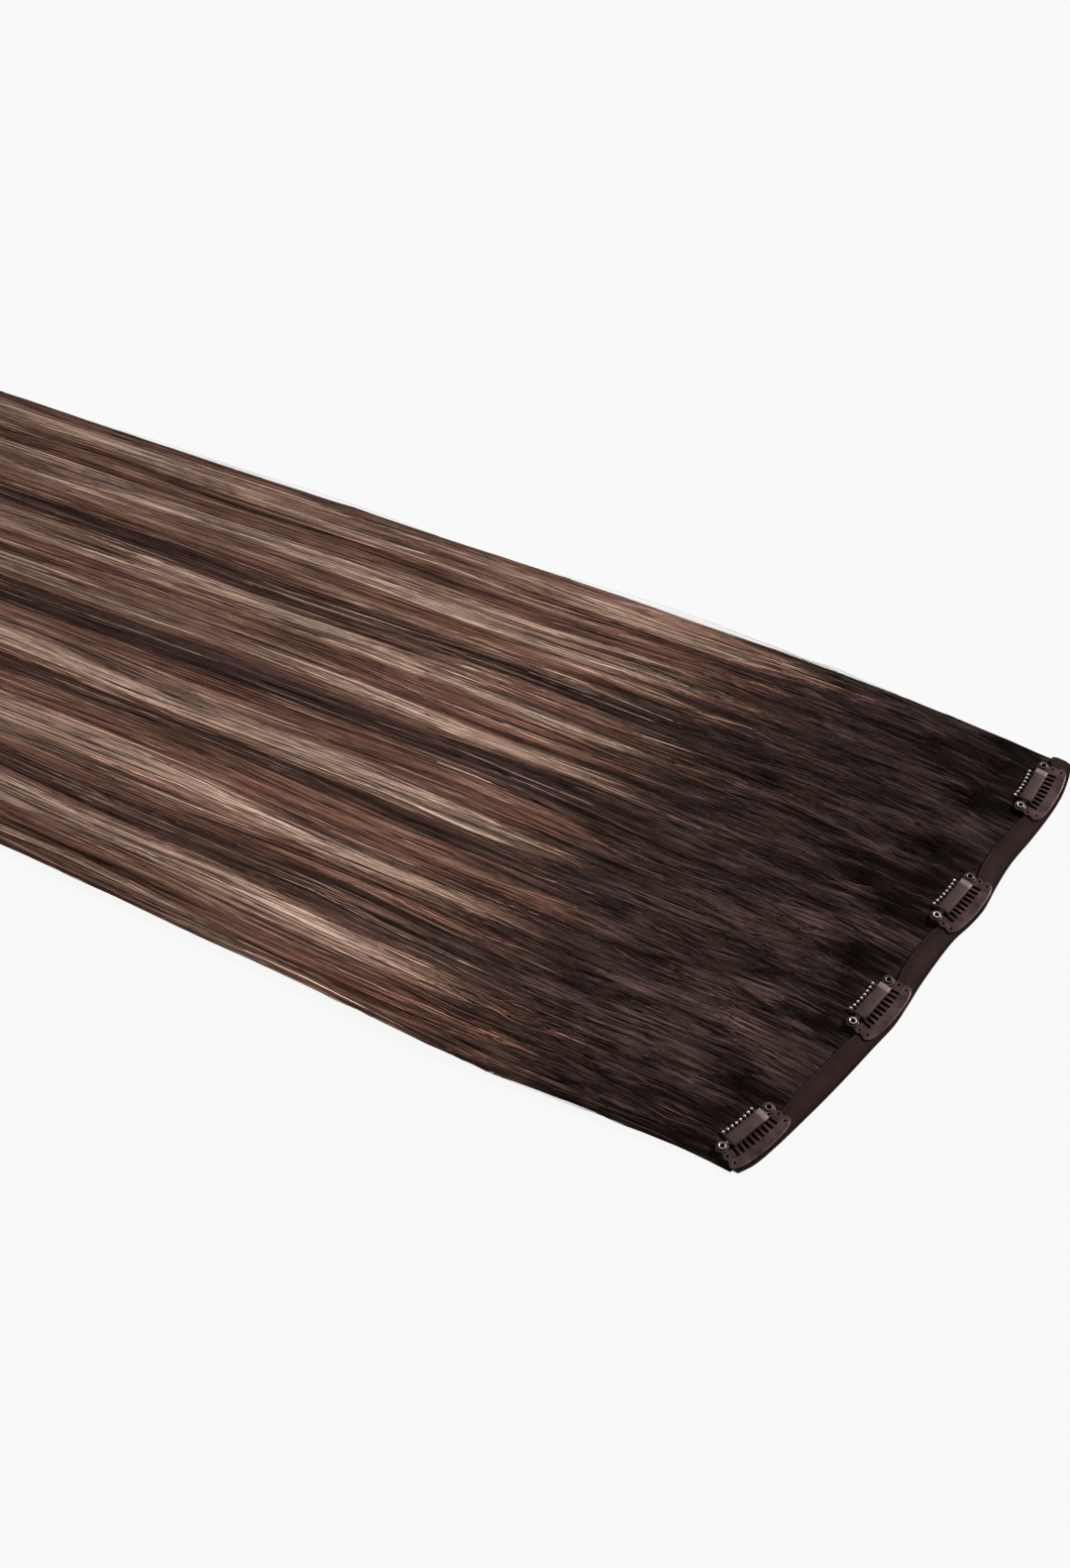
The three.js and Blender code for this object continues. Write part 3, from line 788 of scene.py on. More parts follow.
def streak_tone(across, distance, jitter):
    """How light the hair is there: dark at the roots, then streaked, with feathered and pointed starts."""
    across = np.asarray(across)[..., None]
    middle = column(STREAKS, "across")
    half = column(STREAKS, "half_width")
    offset = (across - middle) / half
    weight = np.exp(-np.abs(offset) ** 3)
    weight = weight / (weight.sum(-1, keepdims=True) + 1e-6)
    light = (weight * column(STREAKS, "light")).sum(-1)
    pointed = STREAK_START["point"] * np.minimum(np.abs(offset), 1.2) ** 1.5
    start = (weight * (column(STREAKS, "start") + pointed)).sum(-1) + STREAK_START["jitter"] * jitter
    half_feather = STREAK_START["feather"] / 2
    return light * smoothstep(distance, start - half_feather, start + half_feather)


def root_shade(across, distance):
    """Painted shade near the roots: dark blotches in front of each clip where the hair is pressed down, a
    painted contact shadow at the band, a painted shadow toward the far side, and uneven patches of painted
    sheen and shade.
    """
    across, distance = np.broadcast_arrays(across, distance)
    mottle = ROOT_MOTTLE(across, distance)
    dark = np.zeros(across.shape)
    # Dark spots of painted shade in front of each clip.
    for place in CLIP_PLACES:
        for spot in ROOT_SHADE_SPOTS:
            beside = (across * BAND_LENGTH - place * BAND_LENGTH - spot["aside"]) / spot["half_width"]
            ahead = (distance - spot["distance"]) / spot["reach"]
            inside = 1 - beside**2 - ahead**2 + ROOT_SHADE["spot_mottle"] * mottle
            dark = np.maximum(dark, spot["dark"] * smoothstep(inside, 0, ROOT_SHADE["spot_edge"]))
    fade = 1 - smoothstep(distance, ROOT_SHADE["full_to"], ROOT_SHADE["gone_at"])
    patches = ROOT_SHADE["patches"] * ROOT_PATCHES(across, distance) + ROOT_SHADE["mottle"] * mottle
    # A painted contact shadow along the band's inner edge.
    clear = smoothstep(distance, ROOT_SHADE["clear_from"], ROOT_SHADE["clear_of_band"])
    band_shade = ROOT_SHADE["at_band"] + (1 - ROOT_SHADE["at_band"]) * clear
    # Painted shadow: lighter at the near side, darker toward the far side.
    side = ROOT_SHADE["near_side"] + (ROOT_SHADE["far_side"] - ROOT_SHADE["near_side"]) * across
    return band_shade * (1 - dark) * (1 + fade * (side - 1)) * np.exp(fade * patches)


def set_vector(mesh, name, values):
    """Stores three numbers for every point of a mesh."""
    layer = mesh.attributes.new(name, "FLOAT_VECTOR", "POINT")
    layer.data.foreach_set("vector", np.asarray(values, np.float32).reshape(-1))


def hair_lay(across, distance, number):
    """Where points of the hair lie: along the band and away from it, with their batch's number."""
    return stacked(across * BAND_LENGTH * MM, distance * MM, float(number))


def make_core():
    """The dense inside of each lock, under the strands, and the layer of roots under the band."""
    angle = np.linspace(0, math.pi, CORE["sides"])
    sides = np.concatenate([np.cos(angle), [-0.5, 0, 0.5]])[None, :] * CORE["share"]
    levels = np.concatenate([np.sin(angle) ** 0.5, [0, 0, 0]])[None, :] * CORE["share"]
    parts, tones, lays = [], [], []

    def add_part(points, across, distance, light, shade):
        parts.append(capped_loft(points))
        tones.append(stacked(light, CORE["own"], shade).reshape(-1, 3))
        lays.append(hair_lay(across, distance, 0).reshape(-1, 3))

    for lock in LOCKS:
        distance = np.linspace(RING_INSET, lock["end"] - 0.5 * lock["taper"], CORE["stations"])[:, None]
        points, across = in_lock(lock, sides, levels, distance)
        points[..., 2] = np.maximum(points[..., 2], CORE["lowest"])
        light = streak_tone(across, np.broadcast_to(distance, across.shape), 0)
        # The inside of the locks is darkened as painted shade under the strands, besides the painted shade
        # near the roots.
        add_part(points, across, distance, light, CORE["shade"] * root_shade(across, distance))
    across = np.linspace(0.004, 0.996, ROOTS["stations"])[:, None]
    distance, height = (column(ROOT_SECTION, name)[None, :] for name in ("inset", "up"))
    points = in_hair(across, distance, height)
    # The roots under the band are darkened as painted shade.
    add_part(points, across, distance, np.zeros(points.shape[:2]), ROOTS["shade"])
    mesh = make_mesh("hair_core", *joined(parts), sharp=50)
    set_vector(mesh, "tone", np.concatenate(tones))
    set_vector(mesh, "lay", np.concatenate(lays))
    return mesh


def ribbon_mesh(name, path, width, roll, tone, lay):
    """Roof-shaped ribbons, one per row of path, which holds (strands, stations, 3) points."""
    count, stations = path.shape[:2]
    run = np.gradient(path, axis=1)
    side = np.stack([-run[..., 1], run[..., 0], 0 * run[..., 0]], -1)
    side /= np.linalg.norm(side, axis=-1, keepdims=True) + 1e-9
    up = np.array([0, 0, 1.0])
    turn = roll[:, None, None]
    across = side * np.cos(turn) + up * np.sin(turn)
    out = up * np.cos(turn) - side * np.sin(turn)
    half = width[..., None] / 2
    rows = np.stack([path - across * half, path + out * half * 2 * STRANDS["roof"], path + across * half], 2)
    rows[..., 2] = np.maximum(rows[..., 2], STRANDS["lowest"] / 2)
    points = rows.reshape(-1, 3)
    first = (np.arange(count)[:, None] * stations + np.arange(stations - 1)[None, :]).reshape(-1) * 3
    left = np.stack([first, first + 1, first + 4, first + 3], 1)
    quads = np.concatenate([left, left + 1]).astype(np.int32)
    mesh = bpy.data.meshes.new(name)
    mesh.vertices.add(len(points))
    mesh.vertices.foreach_set("co", (points * MM).astype(np.float32).reshape(-1))
    mesh.loops.add(quads.size)
    mesh.loops.foreach_set("vertex_index", quads.reshape(-1))
    mesh.polygons.add(len(quads))
    mesh.polygons.foreach_set("loop_start", np.arange(0, quads.size, 4, dtype=np.int32))
    mesh.polygons.foreach_set("use_smooth", np.ones(len(quads), bool))
    mesh.update(calc_edges=True)
    mesh.validate()
    for attribute_name, values in (("tone", tone), ("lay", lay)):
        set_vector(mesh, attribute_name, np.repeat(values[:, :, None, :], 3, axis=2))
    set_bake_map(mesh, count, stations, quads)
    return mesh


def set_bake_map(mesh, count, stations, quads):
    """Gives each strand its own cell in a map: along it one way and across it the other."""
    columns = STRANDS["bake_columns"]
    rows = math.ceil(count / columns)
    strand = np.arange(count)[:, None, None]
    along = np.linspace(0.02, 0.98, stations)[None, :, None]
    over = np.array([0.2, 0.5, 0.8])[None, None, :]
    places = stacked((strand % columns + along) / columns, (strand // columns + over) / rows).reshape(-1, 2)
    layer = mesh.uv_layers.new(name="OFBake")
    layer.data.foreach_set("uv", places[quads.reshape(-1)].astype(np.float32).reshape(-1))


def strand_draws(seed, count):
    """A seeded generator, with its even and its bell-shaped draws of one number for each strand."""
    random = np.random.default_rng(seed)

    def even(low, high):
        return random.uniform(low, high, (count, 1))

    def bell(spread, middle=0.0):
        return random.normal(middle, spread, (count, 1))

    return random, even, bell


def stations(sizes):
    """The shares of a strand's length at which it has its points."""
    return np.linspace(0, 1, sizes["segments"] + 1)[None, :]


def pick_locks(random, count):
    """A lock for each strand, by the locks' widths, as arrays of their sizes."""
    widths = column(LOCKS, "half_width")
    chosen = random.choice(len(LOCKS), count, p=widths / widths.sum())
    return {name: column(LOCKS, name)[chosen][:, None] for name in LOCKS[0]}


def move_outside(random, lock, share, count):
    """Moves a share of the strands to the first or the last lock: which ones, and to which side."""
    outer = random.uniform(0, 1, count) < share
    rim = random.choice((0, len(LOCKS) - 1), count)
    for key, values in lock.items():
        values[outer, 0] = column(LOCKS, key)[rim[outer]]
    return outer, np.where(rim == 0, -1, 1)


def swing(bell, across, distance):
    """The strands near the roots swing to the side together, some more than others, so that they cross."""
    own = ROOT_WAVE["swing"] * bell(ROOT_WAVE["swing_spread"], ROOT_WAVE["swing_middle"])
    return own * SWING(across, distance) * near_roots(distance) * from_sides(across, *ROOT_WAVE["across"])


def strand_tone(even, bell, across, distance):
    """Each strand keeps the tone of the streak that it left the roots in, and a few stray from it; it also
    takes the painted shade near the roots.
    """
    own = even(0, 1)
    stray = np.where(even(0, 1) < TONE["straying"], bell(TONE["stray"]), 0)
    jitter = bell(TONE["start"])
    home = across[:, :1] + stray + bell(TONE["home"])
    light = streak_tone(home + 0 * across, distance, jitter) * (1 + bell(TONE["own"]))
    light = light * (1 + TONE["fade"] * STREAK_FADE(across, distance))
    return stacked(light, own, root_shade(across, distance))


def make_strands(name, seed):
    """One batch of the long strands, from the roots to the tips."""
    count = STRANDS["count"]
    random, even, bell = strand_draws(seed, count)
    lock = pick_locks(random, count)
    side = even(-1, 1)
    level = 1 - STRANDS["depth"] * even(0, 1) ** STRANDS["depth_power"]
    outer, way = move_outside(random, lock, STRANDS["side_share"], count)
    side[outer, 0] = way[outer] * random.uniform(*STRANDS["side_across"], outer.sum())
    level[outer, 0] = random.uniform(*STRANDS["side_level"], outer.sum())

    start = even(*STRANDS["start"])
    end = lock["end"] * (1 - STRANDS["short_by"] * even(0, 1) ** STRANDS["short_power"])
    share = stations(STRANDS) ** STRANDS["crowding"]
    distance = start + (end - start) * share
    path, across = in_lock(lock, side, level, distance)

    free = smoothstep(distance, *STRANDS["free_along"])
    turn = 2 * math.pi * distance / even(*STRANDS["wave_length"])
    phase = even(0, 2 * math.pi)
    path[..., 1] += free * bell(STRANDS["wave"]) * np.sin(turn + phase)
    path[..., 1] += free * bell(STRANDS["drift"]) * (distance / HAIR["length"])
    path[..., 1] += STRANDS["combed"] * COMBED(across, distance) * free
    path[..., 1] += swing(bell, across, distance)
    path[..., 2] += free * bell(STRANDS["rise"]) * np.sin(turn - phase)
    path[..., 2] = np.maximum(path[..., 2], STRANDS["lowest"])

    width = STRANDS["width"] * (1 + STRANDS["width_spread"] * even(-1, 1))
    width = width * (1 - STRANDS["thinning"] * smoothstep(share, *STRANDS["thin_along"]))
    roll = random.uniform(-STRANDS["roll"], STRANDS["roll"], count)
    tone = strand_tone(even, bell, across, distance)
    return ribbon_mesh(name, path, width, roll, tone, hair_lay(across, distance, seed))


def make_crossing(name):
    """Short fine strands on top near the roots, each leaning a little its own way."""
    seed, count = CROSSING["seed"], CROSSING["count"]
    random, even, bell = strand_draws(seed, count)
    lock = pick_locks(random, count)
    side = even(-CROSSING["side"], CROSSING["side"])
    start = even(*CROSSING["start"])
    length = even(*CROSSING["length"])
    share = stations(CROSSING)
    distance = start + length * share
    path, across = in_lock(lock, side, 1 + 0 * side, distance)
    lean = bell(CROSSING["lean"]) * length * (share - 0.5)
    path[..., 1] += lean * from_sides(across, *CROSSING["lean_across"])
    path[..., 1] += STRANDS["combed"] * COMBED(across, distance)
    path[..., 1] += swing(bell, across, distance)
    path[..., 2] += CROSSING["hump"] * np.sin(math.pi * share) - CROSSING["sunk"]
    width = CROSSING["width"] * (1 - CROSSING["thinning"] * np.abs(2 * share - 1)) + 0 * distance
    tone = strand_tone(even, bell, across, distance)
    roll = random.uniform(-CROSSING["roll"], CROSSING["roll"], count)
    return ribbon_mesh(name, path, width, roll, tone, hair_lay(across, distance, seed))


def make_flyaways(name):
    """Thin stray strands that stand off the top and the two sides."""
    seed, count = FLYAWAYS["seed"], FLYAWAYS["count"]
    random, even, bell = strand_draws(seed, count)
    lock = pick_locks(random, count)
    side = even(-1, 1)
    outer, way = move_outside(random, lock, FLYAWAYS["side_share"], count)
    outer, way = outer[:, None], way[:, None]
    side = np.where(outer, way * FLYAWAYS["side_across"], side)
    start = even(*FLYAWAYS["start"])
    length = even(*FLYAWAYS["length"])
    share = stations(FLYAWAYS)
    distance = np.minimum(start + length * share, lock["end"] - 2 + 2 * share)
    level = np.where(outer, even(*FLYAWAYS["side_level"]), 1.0)
    path, across = in_lock(lock, side, level, distance)
    hump = np.sin(math.pi * share) * even(0, 1) ** 2
    lean = bell(FLYAWAYS["lean"]) * length * share
    path[..., 1] += np.where(outer, way * hump * FLYAWAYS["stray"], lean)
    path[..., 2] += hump * FLYAWAYS["lift"] + FLYAWAYS["over_top"]
    width = FLYAWAYS["width"] * (1 - FLYAWAYS["thinning"] * share) + 0 * distance
    tone = strand_tone(even, bell, across, distance)
    roll = random.uniform(-FLYAWAYS["roll"], FLYAWAYS["roll"], count)
    return ribbon_mesh(name, path, width, roll, tone, hair_lay(across, distance, seed))


def make_hair():
    add_piece("hair_core", make_core(), hair_material("hair_inside"), "hair")
    fibre = hair_material("hair_strand")
    for batch in range(STRANDS["batches"]):
        name = f"hair_strands_{batch + 1}"
        add_piece(name, make_strands(name, STRANDS["seed"] + batch), fibre, "hair")
    for name, make in (("crossing_strands", make_crossing), ("flyaway_strands", make_flyaways)):
        add_piece(name, make(name), fibre)


# The band. Its section runs from the underside round the outer edge and over to the inner edge: each place by
# its inset from the outer (0) or the inner (1) edge, its height, and how freely it puckers.
BAND_PROFILE = table(
    "inner inset up free",
    (0, 0.45, 0, 0), (0, 0.15, 0.08, 0), (0, 0, 0.3, 0), (0, 0.02, 0.62, 0), (0, 0.16, 0.9, 0.2),
    (0, 0.42, 1, 0.5), (0, 0.7, 0.96, 0.6), (0, 0.85, 0.9, 0.8), (0, 1.1, 0.93, 1), (0, 1.8, 0.97, 1),
    (0, 2.8, 1, 1), (0, 4.2, 1.01, 1), (1, 3.2, 1, 1), (1, 2.2, 0.97, 1), (1, 1.5, 0.92, 1),
    (1, 1.3, 0.86, 0.8), (1, 1.05, 0.94, 0.6), (1, 0.7, 0.98, 0.5), (1, 0.3, 0.94, 0.3),
    (1, 0.06, 0.76, 0), (1, 0, 0.45, 0), (1, 0.1, 0.12, 0), (1, 0.4, 0, 0),
)


def make_band():
    """A folded strip with rolled long edges, a low crown and a stitched-down hem along its inner edge."""
    along = np.linspace(0, 1, BAND["stations"])
    short = np.maximum(BAND["corner"] - np.minimum(along, 1 - along) * BAND_LENGTH, 0)
    outer = BAND["corner"] - np.sqrt(BAND["corner"] ** 2 - short**2)
    inner = band_width(along) - outer
    pucker = Field(31, 11, 9, 5)
    nearness = [bump((along - place) * BAND_LENGTH, BAND["pucker_reach"]) for place in CLIP_PLACES]
    creasing = BAND["pucker"] * (1 + np.max(nearness, axis=0))
    sections = []
    for row in BAND_PROFILE:
        inset = outer + row["inset"] if row["inner"] == 0 else inner - row["inset"]
        place = on_band(along, inset)
        crease = pucker(along, inset) * creasing * row["free"]
        height = BAND_BOTTOM + row["up"] * BAND["thickness"] + crease
        sections.append(stacked(place[:, 0], place[:, 1], height))
    mesh = make_mesh("weft_band", *capped_loft(np.stack(sections, 1)), sharp=60)
    run = np.array([abs(row["inner"] * BAND_WIDTH - row["inset"]) for row in BAND_PROFILE])
    set_vector(mesh, "lay", stacked(along[:, None] * BAND_LENGTH, run[None, :], 0.0) * MM)
    return mesh


# The clips.

def around(x, y, radius, angle):
    """Points round a middle at the given angles."""
    return stacked(x + radius * np.cos(angle), y + radius * np.sin(angle))


def circle(x, y, radius, sides):
    return around(x, y, radius, np.linspace(0, 2 * math.pi, sides, endpoint=False))


def tooth_x(index, y):
    """The x of a tooth's middle line, or of a slot's for a half index: teeth close up to their tips."""
    root_y = -SLOT["back"] * PLATE["depth"]
    share = (y - root_y) / (TEETH["reach"] - root_y)
    pitch = TEETH["pitch_at_root"] + (TEETH["pitch_at_tip"] - TEETH["pitch_at_root"]) * share
    return (index - (TEETH["count"] - 1) / 2) * pitch


def tooth_tip(index):
    """How far a tooth reaches: the middle ones are shorter."""
    from_middle = 2 * index / (TEETH["count"] - 1) - 1
    return TEETH["reach"] - TEETH["middle_short"] * (1 - from_middle**2)


def slot_end(x):
    return -PLATE["depth"] * (SLOT["back"] - SLOT["forward_at_ends"] * (x / PLATE["half_length"]) ** 2)


def right_outside():
    """The right-hand outside of the plate, from the front of its arm to the middle of its back edge."""
    turn = np.radians([150, 126, 102, 78, 54, 30, 10])
    arc = around(PLATE["ring_half_span"], 0, PLATE["pad_radius"], turn)
    side = [(row["out"] * PLATE["half_length"], -row["back"] * PLATE["depth"]) for row in PLATE_SIDE]
    back = [(0, -PLATE["depth"])]
    return smooth_curve([*arc, *side, *back], 3)


def plate_outline():
    right = right_outside()
    left = right[-2::-1] * (-1, 1)
    arm_front = SLOT["corner"] * PLATE["pad_radius"]
    arm_inside = tooth_x(TEETH["count"], arm_front) - TEETH["width_at_root"] / 2
    points = [(arm_inside, arm_front), *right, *left, (-arm_inside, arm_front)]
    for i in range(TEETH["count"] + 1):
        end = slot_end(tooth_x(i - 0.5, 0))
        middle = tooth_x(i - 0.5, end)
        half = (tooth_x(1, end) - tooth_x(0, end) - TEETH["width_at_root"]) / 2
        points.extend(around(middle, end + half, half, np.radians(np.linspace(180, 360, 7))))
        if i < TEETH["count"]:
            y = tooth_tip(i)
            x = tooth_x(i, y)
            points.append((x - TEETH["width_at_tip"] / 2, y))
            points.append((x + TEETH["width_at_tip"] / 2, y))
    return points


def flat_part(outlines, thickness, bevel, bottom):
    """A flat part with rounded edges, from its outline and its holes: points and faces in millimetres."""
    curve = bpy.data.curves.new("flat", "CURVE")
    curve.dimensions = "2D"
    curve.fill_mode = "BOTH"
    curve.extrude = thickness / 2 - bevel
    curve.bevel_depth = bevel
    curve.bevel_resolution = 2
    curve.offset = -bevel
    for outline in outlines:
        spline = curve.splines.new("POLY")
        spline.points.add(len(outline) - 1)
        for point, (x, y) in zip(spline.points, outline):
            point.co = (x, y, 0, 1)
        spline.use_cyclic_u = True
    holder = new_object("flat", curve)
    evaluated = holder.evaluated_get(bpy.context.evaluated_depsgraph_get())
    mesh = bpy.data.meshes.new_from_object(evaluated)
    points = np.array([vertex.co for vertex in mesh.vertices]) + (0, 0, bottom + thickness / 2)
    faces = [list(face.vertices) for face in mesh.polygons]
    bpy.data.objects.remove(holder)
    bpy.data.curves.remove(curve)
    bpy.data.meshes.remove(mesh)
    return points, faces


def ball(x, y, z, radius, rings=8, sides=14):
    sections = [
        stacked(*circle(x, y, radius * math.sin(a), sides).T, z + radius * math.cos(a))
        for a in np.linspace(0, math.pi, rings + 1)[1:-1]
    ]
    return capped_loft(sections)


def tube(path, radius, sides=8):
    """A round tube along a path, its sections square to the path."""
    path = np.asarray(path, float)
    run = np.gradient(path, axis=0)
    run /= np.linalg.norm(run, axis=1, keepdims=True)
    hint = np.array([0.31, 0.17, 0.93])
    first = np.cross(run, hint)
    first /= np.linalg.norm(first, axis=1, keepdims=True)
    second = np.cross(run, first)
    turn = np.linspace(0, 2 * math.pi, sides, endpoint=False)
    ring = np.cos(turn)[None, :, None] * first[:, None] + np.sin(turn)[None, :, None] * second[:, None]
    return capped_loft(path[:, None] + radius * ring)


def plate_parts():
    """The plate with its teeth, and the pressed rib just inside its back edge."""
    outlines = [plate_outline()]
    for side in (-1, 1):
        outlines.append(circle(side * PLATE["ring_half_span"], 0, RIVET_HOLE, 28))
        for x, y in sewing_places(side):
            outlines.append(circle(x, y, PLATE["sewing_hole"], 14))
    plate = flat_part(outlines, PLATE["thickness"], PLATE["bevel"], 0)
    rib = right_outside()
    rib = rib[rib[:, 1] < -RIB["from_back"] * PLATE["depth"]]
    rib = np.concatenate([rib, rib[-2::-1] * (-1, 1)]) * (1 - RIB["inset"] / PLATE["depth"])
    path = stacked(rib[:, 0], rib[:, 1], PLATE["thickness"] - RIB["sunk"])
    return joined([plate, tube(path, RIB["radius"])])


def sewing_places(side):
    half, depth = PLATE["half_length"], PLATE["depth"]
    return [(side * hole["out"] * half, -hole["back"] * depth) for hole in SEWING_HOLES]


def tip_parts():
    """The small balls at the ends of the teeth."""
    return joined([
        ball(tooth_x(i, tooth_tip(i)), tooth_tip(i), PLATE["thickness"] / 2, TEETH["ball_radius"])
        for i in range(TEETH["count"])
    ])


def bow_set_back(x):
    return -BOW["set_back"] * (1 - (x / PLATE["ring_half_span"]) ** 4)


def bow_height(x):
    """The height of the bow's middle plane: flat at the pads, up over the teeth, highest in the middle."""
    at_pad = BOW_BOTTOM + BOW["thickness"] / 2
    over_teeth = PLATE["thickness"] + GAP + SLEEVE_HEIGHT / 2
    sleeve_end = SLEEVE["length"] / 2
    share = smoothstep(-np.abs(x), -BOW_PAD_EDGE, -sleeve_end)
    arch = np.maximum(1 - (x / sleeve_end) ** 2, 0) * BOW["crown"]
    return at_pad + (over_teeth - at_pad) * share + arch


def rounded_box(width, height, radius, corner_points=4):
    """A closed section across a strip: (across, up) round a box with rounded corners."""
    flat_x, flat_y = width / 2 - radius, height / 2 - radius
    return np.concatenate([
        around(x * flat_x, y * flat_y, radius, np.radians(np.linspace(start, start + 90, corner_points)))
        for x, y, start in ((1, 1, 0), (-1, 1, 90), (-1, -1, 180), (1, -1, 270))
    ])


def across_bow(x, section):
    return stacked(x, bow_set_back(x) + section[:, 0], bow_height(x) + section[:, 1])


def bow_parts():
    section = rounded_box(BOW["width"], BOW["thickness"], BOW["corner"])
    run = np.linspace(-BOW_PAD_EDGE, BOW_PAD_EDGE, BOW["stations"])
    strip = capped_loft([across_bow(x, section) for x in run])
    pads = []
    for side in (-1, 1):
        x = side * PLATE["ring_half_span"]
        outlines = [circle(x, 0, BOW["pad_radius"], 40), circle(x, 0, RIVET_HOLE, 32)]
        pads.append(flat_part(outlines, BOW["thickness"], BOW["pad_bevel"], BOW_BOTTOM))
    return joined([strip, *pads])


def sleeve_parts():
    """A hollow flat tube, its mouths softly rounded."""
    end = SLEEVE["length"] / 2
    soft = SLEEVE["soft"]
    outside = [(x, 0) for x in np.linspace(-end + soft, end - soft, SLEEVE["stations"])]
    outside = [(-end, soft), (-end + soft / 2, soft / 4), *outside, (end - soft / 2, soft / 4), (end, soft)]
    sections = []
    for x, shrink in outside:
        size = (SLEEVE["width"] - 2 * shrink, SLEEVE_HEIGHT - 2 * shrink)
        section = rounded_box(*size, SLEEVE["corner"] - shrink)
        sections.append(across_bow(x, section))
    section = rounded_box(BOW["width"] + 2 * GAP, BOW["thickness"] + 2 * GAP, GAP)
    sections += [across_bow(x, section) for x in np.linspace(end, -end, SLEEVE["stations"])]
    sections = np.array(sections)
    rows, columns = sections.shape[:2]
    return sections.reshape(-1, 3), grid_faces(rows, columns, True, True).tolist()


def eyelet_parts(side):
    """A rolled tubular rivet: a smooth closed profile turned round the hole."""
    bottom = -GAP - EYELET["lip"]
    top = FLANGE_BOTTOM + EYELET["flange_thickness"]
    bore, barrel, flange = EYELET["bore"], EYELET["barrel"], EYELET["flange"]
    profile = smooth_curve([
        (bore, bottom + 0.15), (bore + 0.3, bottom), (flange - 0.2, bottom + 0.05), (flange - 0.1, -GAP),
        (barrel, -GAP), (barrel, FLANGE_BOTTOM - 0.05), (flange, FLANGE_BOTTOM),
        (flange - 0.03, FLANGE_BOTTOM + 0.22), (flange - 0.3, top), (bore + 0.3, top - 0.02),
        (bore + 0.05, top - 0.22), (bore, FLANGE_BOTTOM - 0.1), (bore, bottom + 0.15),
    ], 3)[:-1]
    round_x, round_y = circle(0, 0, 1, EYELET["sides"]).T[:, :, None]
    radius, height = profile.T
    points = stacked(side * PLATE["ring_half_span"] + radius * round_x, radius * round_y, height)
    return points.reshape(-1, 3), grid_faces(*points.shape[:2], True, True).tolist()


def sleeve_end_highlight(points):
    """Where the painted highlight lies: the last piece of the sleeve's top at its far end."""
    from_end = SLEEVE["length"] / 2 - points[:, 0]
    return 1 - smoothstep(from_end, *SLEEVE["pressed"])


def rim_wear_and_highlight(points):
    """How much the rolled rim round an eyelet's mouth is lighter, partly rubbed bright and partly a painted
    highlight, which makes it much lighter at the near eyelet.
    """
    radius = np.hypot(np.abs(points[:, 0]) - PLATE["ring_half_span"], points[:, 1])
    on_top = points[:, 2] > FLANGE_BOTTOM + EYELET["flange_thickness"] / 2
    ring = smoothstep(radius, EYELET["bore"] + 0.05, EYELET["bore"] + 0.2)
    ring = ring * (1 - smoothstep(radius, EYELET["flange"] - 0.42, EYELET["flange"] - 0.2))
    return on_top * ring * np.where(points[:, 0] < 0, 1, 0.16)


def stitch_parts():
    """The knots of thread that fill the sewing holes, and their ends that go down into the band."""
    parts = []
    random = np.random.default_rng(5)
    share = np.linspace(-1, 1, 9)
    up = -THREAD["sunk"] - THREAD["droop"] * np.abs(share) ** 3
    for side in (-1, 1):
        for x, y in sewing_places(side):
            for turn in random.uniform(0, math.pi, THREAD["turns"]):
                across = THREAD["reach"] * share
                path = stacked(x + across * math.cos(turn), y + across * math.sin(turn), up)
                parts.append(tube(path, THREAD["radius"], 6))
    return joined(parts)


def placed_on_clip(points, number):
    """Moves points from a clip's own place to where it lies on the band."""
    near, far = clip_ends(number)
    run = (far - near) / np.linalg.norm(far - near)
    middle = (near + far) / 2
    x = middle[0] + points[:, 0] * run[0] - points[:, 1] * run[1]
    y = middle[1] + points[:, 0] * run[1] + points[:, 1] * run[0]
    return stacked(x, y, points[:, 2] + PLATE_BOTTOM)


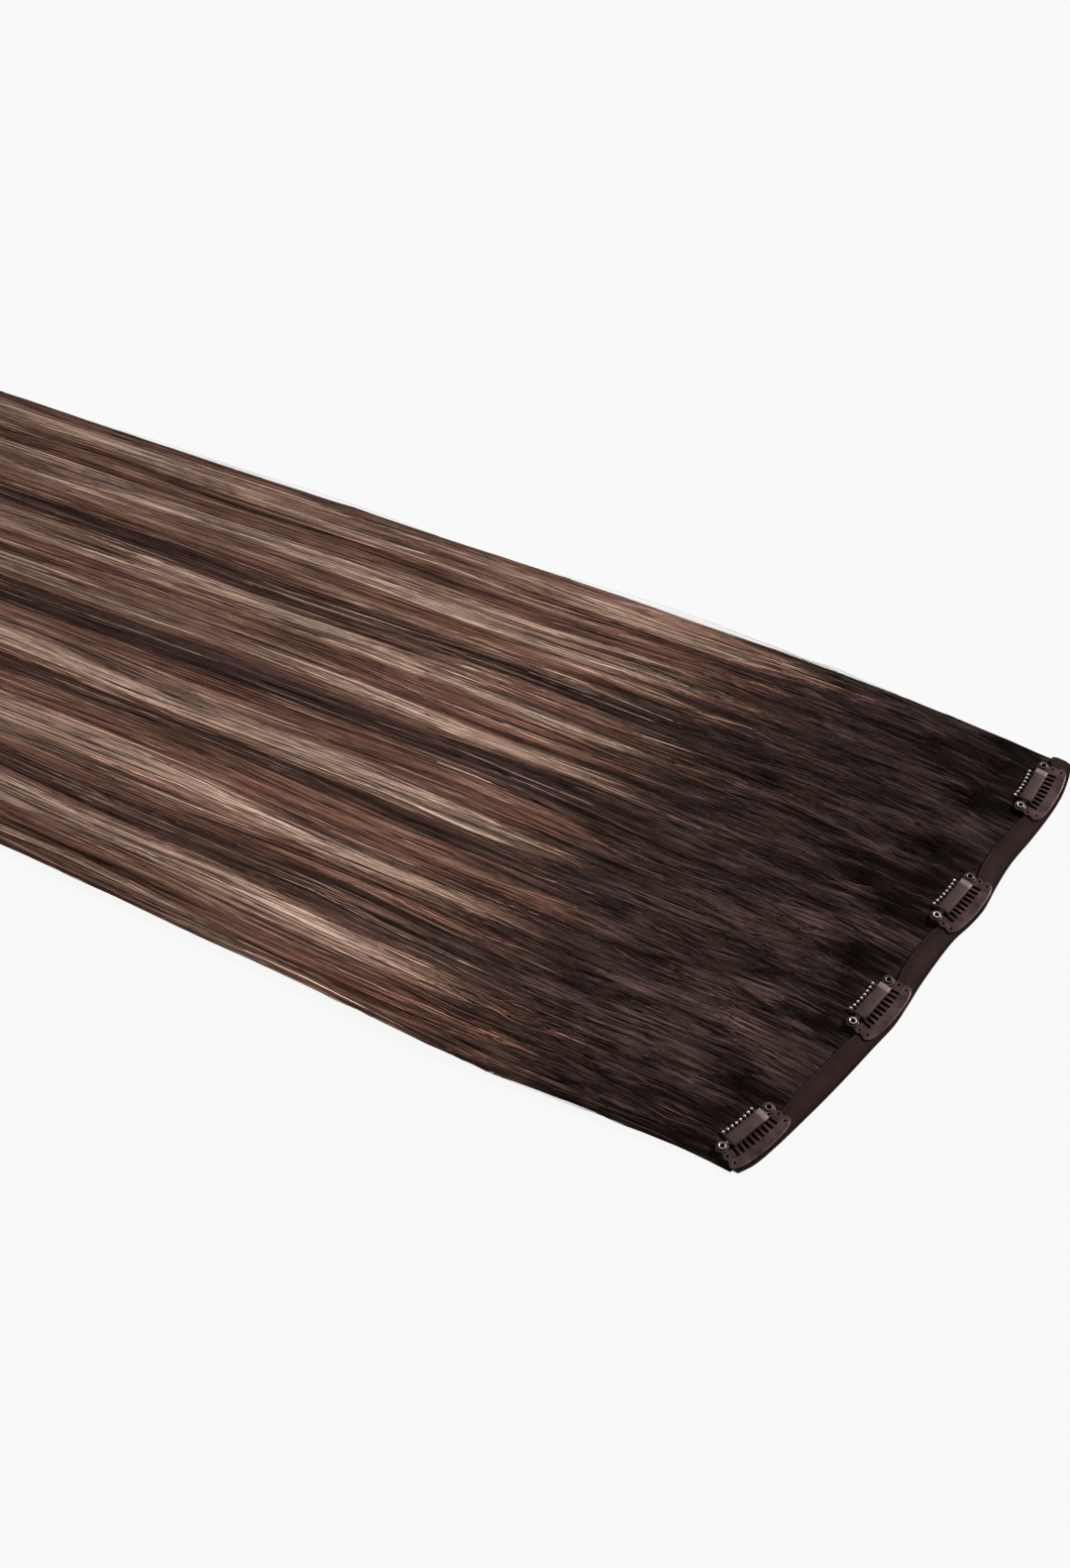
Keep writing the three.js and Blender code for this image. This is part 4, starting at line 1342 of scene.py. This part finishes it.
def make_clips():
    metal = eyelet_material()
    rubber = silicone_material()
    # The eyelets' lighter rims, partly wear and partly painted highlight, and the sleeve's painted highlight
    # at its far end.
    wear_and_highlight_masks = {metal: rim_wear_and_highlight, rubber: sleeve_end_highlight}
    kinds = {
        "comb_plate_{}": (plate_parts(), enamel_material(), "plate_metal"),
        "tooth_tips_{}": (tip_parts(), tip_material(), "plate_metal"),
        "spring_bow_{}": (bow_parts(), bow_material(), "plate_metal"),
        "silicone_sleeve_{}": (sleeve_parts(), rubber, "sleeve"),
        "eyelet_{}_near": (eyelet_parts(-1), metal, "eyelet_metal"),
        "eyelet_{}_far": (eyelet_parts(1), metal, "eyelet_metal"),
        "clip_stitches_{}": (stitch_parts(), thread_material(), "band"),
    }
    for number in range(1, CLIPS + 1):
        for pattern, ((points, faces), material, slot) in kinds.items():
            node = pattern.format(number)
            mesh = make_mesh(node, placed_on_clip(points, number), faces, sharp=40)
            if material in wear_and_highlight_masks:
                set_vector(mesh, "rim", wear_and_highlight_masks[material](points)[:, None] * (1, 0, 0))
            add_piece(f"{node}_look", mesh, material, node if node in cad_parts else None)


# The floor and the light.

def make_floor():
    """A pale floor that glows a little, so that it looks like the backdrop."""
    white = (1, 1, 1, 1)
    glow = {"Emission_Strength": FLOOR["glow"], "Emission_Color": white}
    look = Look("floor", Roughness=0.9, Specular_IOR_Level=0.1, **glow)
    colour = look.shades(look.noise(look.place(), 3, 2), *([grey] * 3 for grey in FLOOR["greys"]))
    half = FLOOR["half_side"]
    mesh = bpy.data.meshes.new("floor")
    corners = [(-half, -half, 0), (half, -half, 0), (half, half, 0), (-half, half, 0)]
    mesh.from_pydata(corners, [], [range(4)])
    mesh.materials.append(look.made(Base_Color=colour))
    new_object("floor", mesh)


def make_light(name, place, target, size, watts):
    data = bpy.data.lights.new(name, "AREA")
    data.shape = "DISK"
    data.size = size
    data.energy = watts
    light = new_object(name, data)
    light.location = place
    light.rotation_euler = (Vector(place) - Vector(target)).to_track_quat("Z", "Y").to_euler()


def make_studio():
    """A dim even light all round, a strong soft light from behind the hair, and two weaker ones."""
    world = bpy.data.worlds.new("studio")
    world.use_nodes = True
    nodes = Nodes(world.node_tree)
    background = world.node_tree.nodes["Background"].inputs
    seen = nodes.add("LightPath").outputs["Is Camera Ray"]
    nodes.feed(background["Strength"], nodes.remap(seen, 0, 1, STUDIO["around"], STUDIO["backdrop"]))
    nodes.feed(background["Color"], (1, 1, 1, 1))
    bpy.context.scene.world = world
    bpy.context.scene.view_settings.view_transform = "Standard"
    for name in ("key", "fill", "glint"):
        make_light(name, **STUDIO[name])
    make_floor()


make_hair()
add_piece("weft_band_look", make_band(), band_material(), "weft_band")
make_clips()
make_studio()
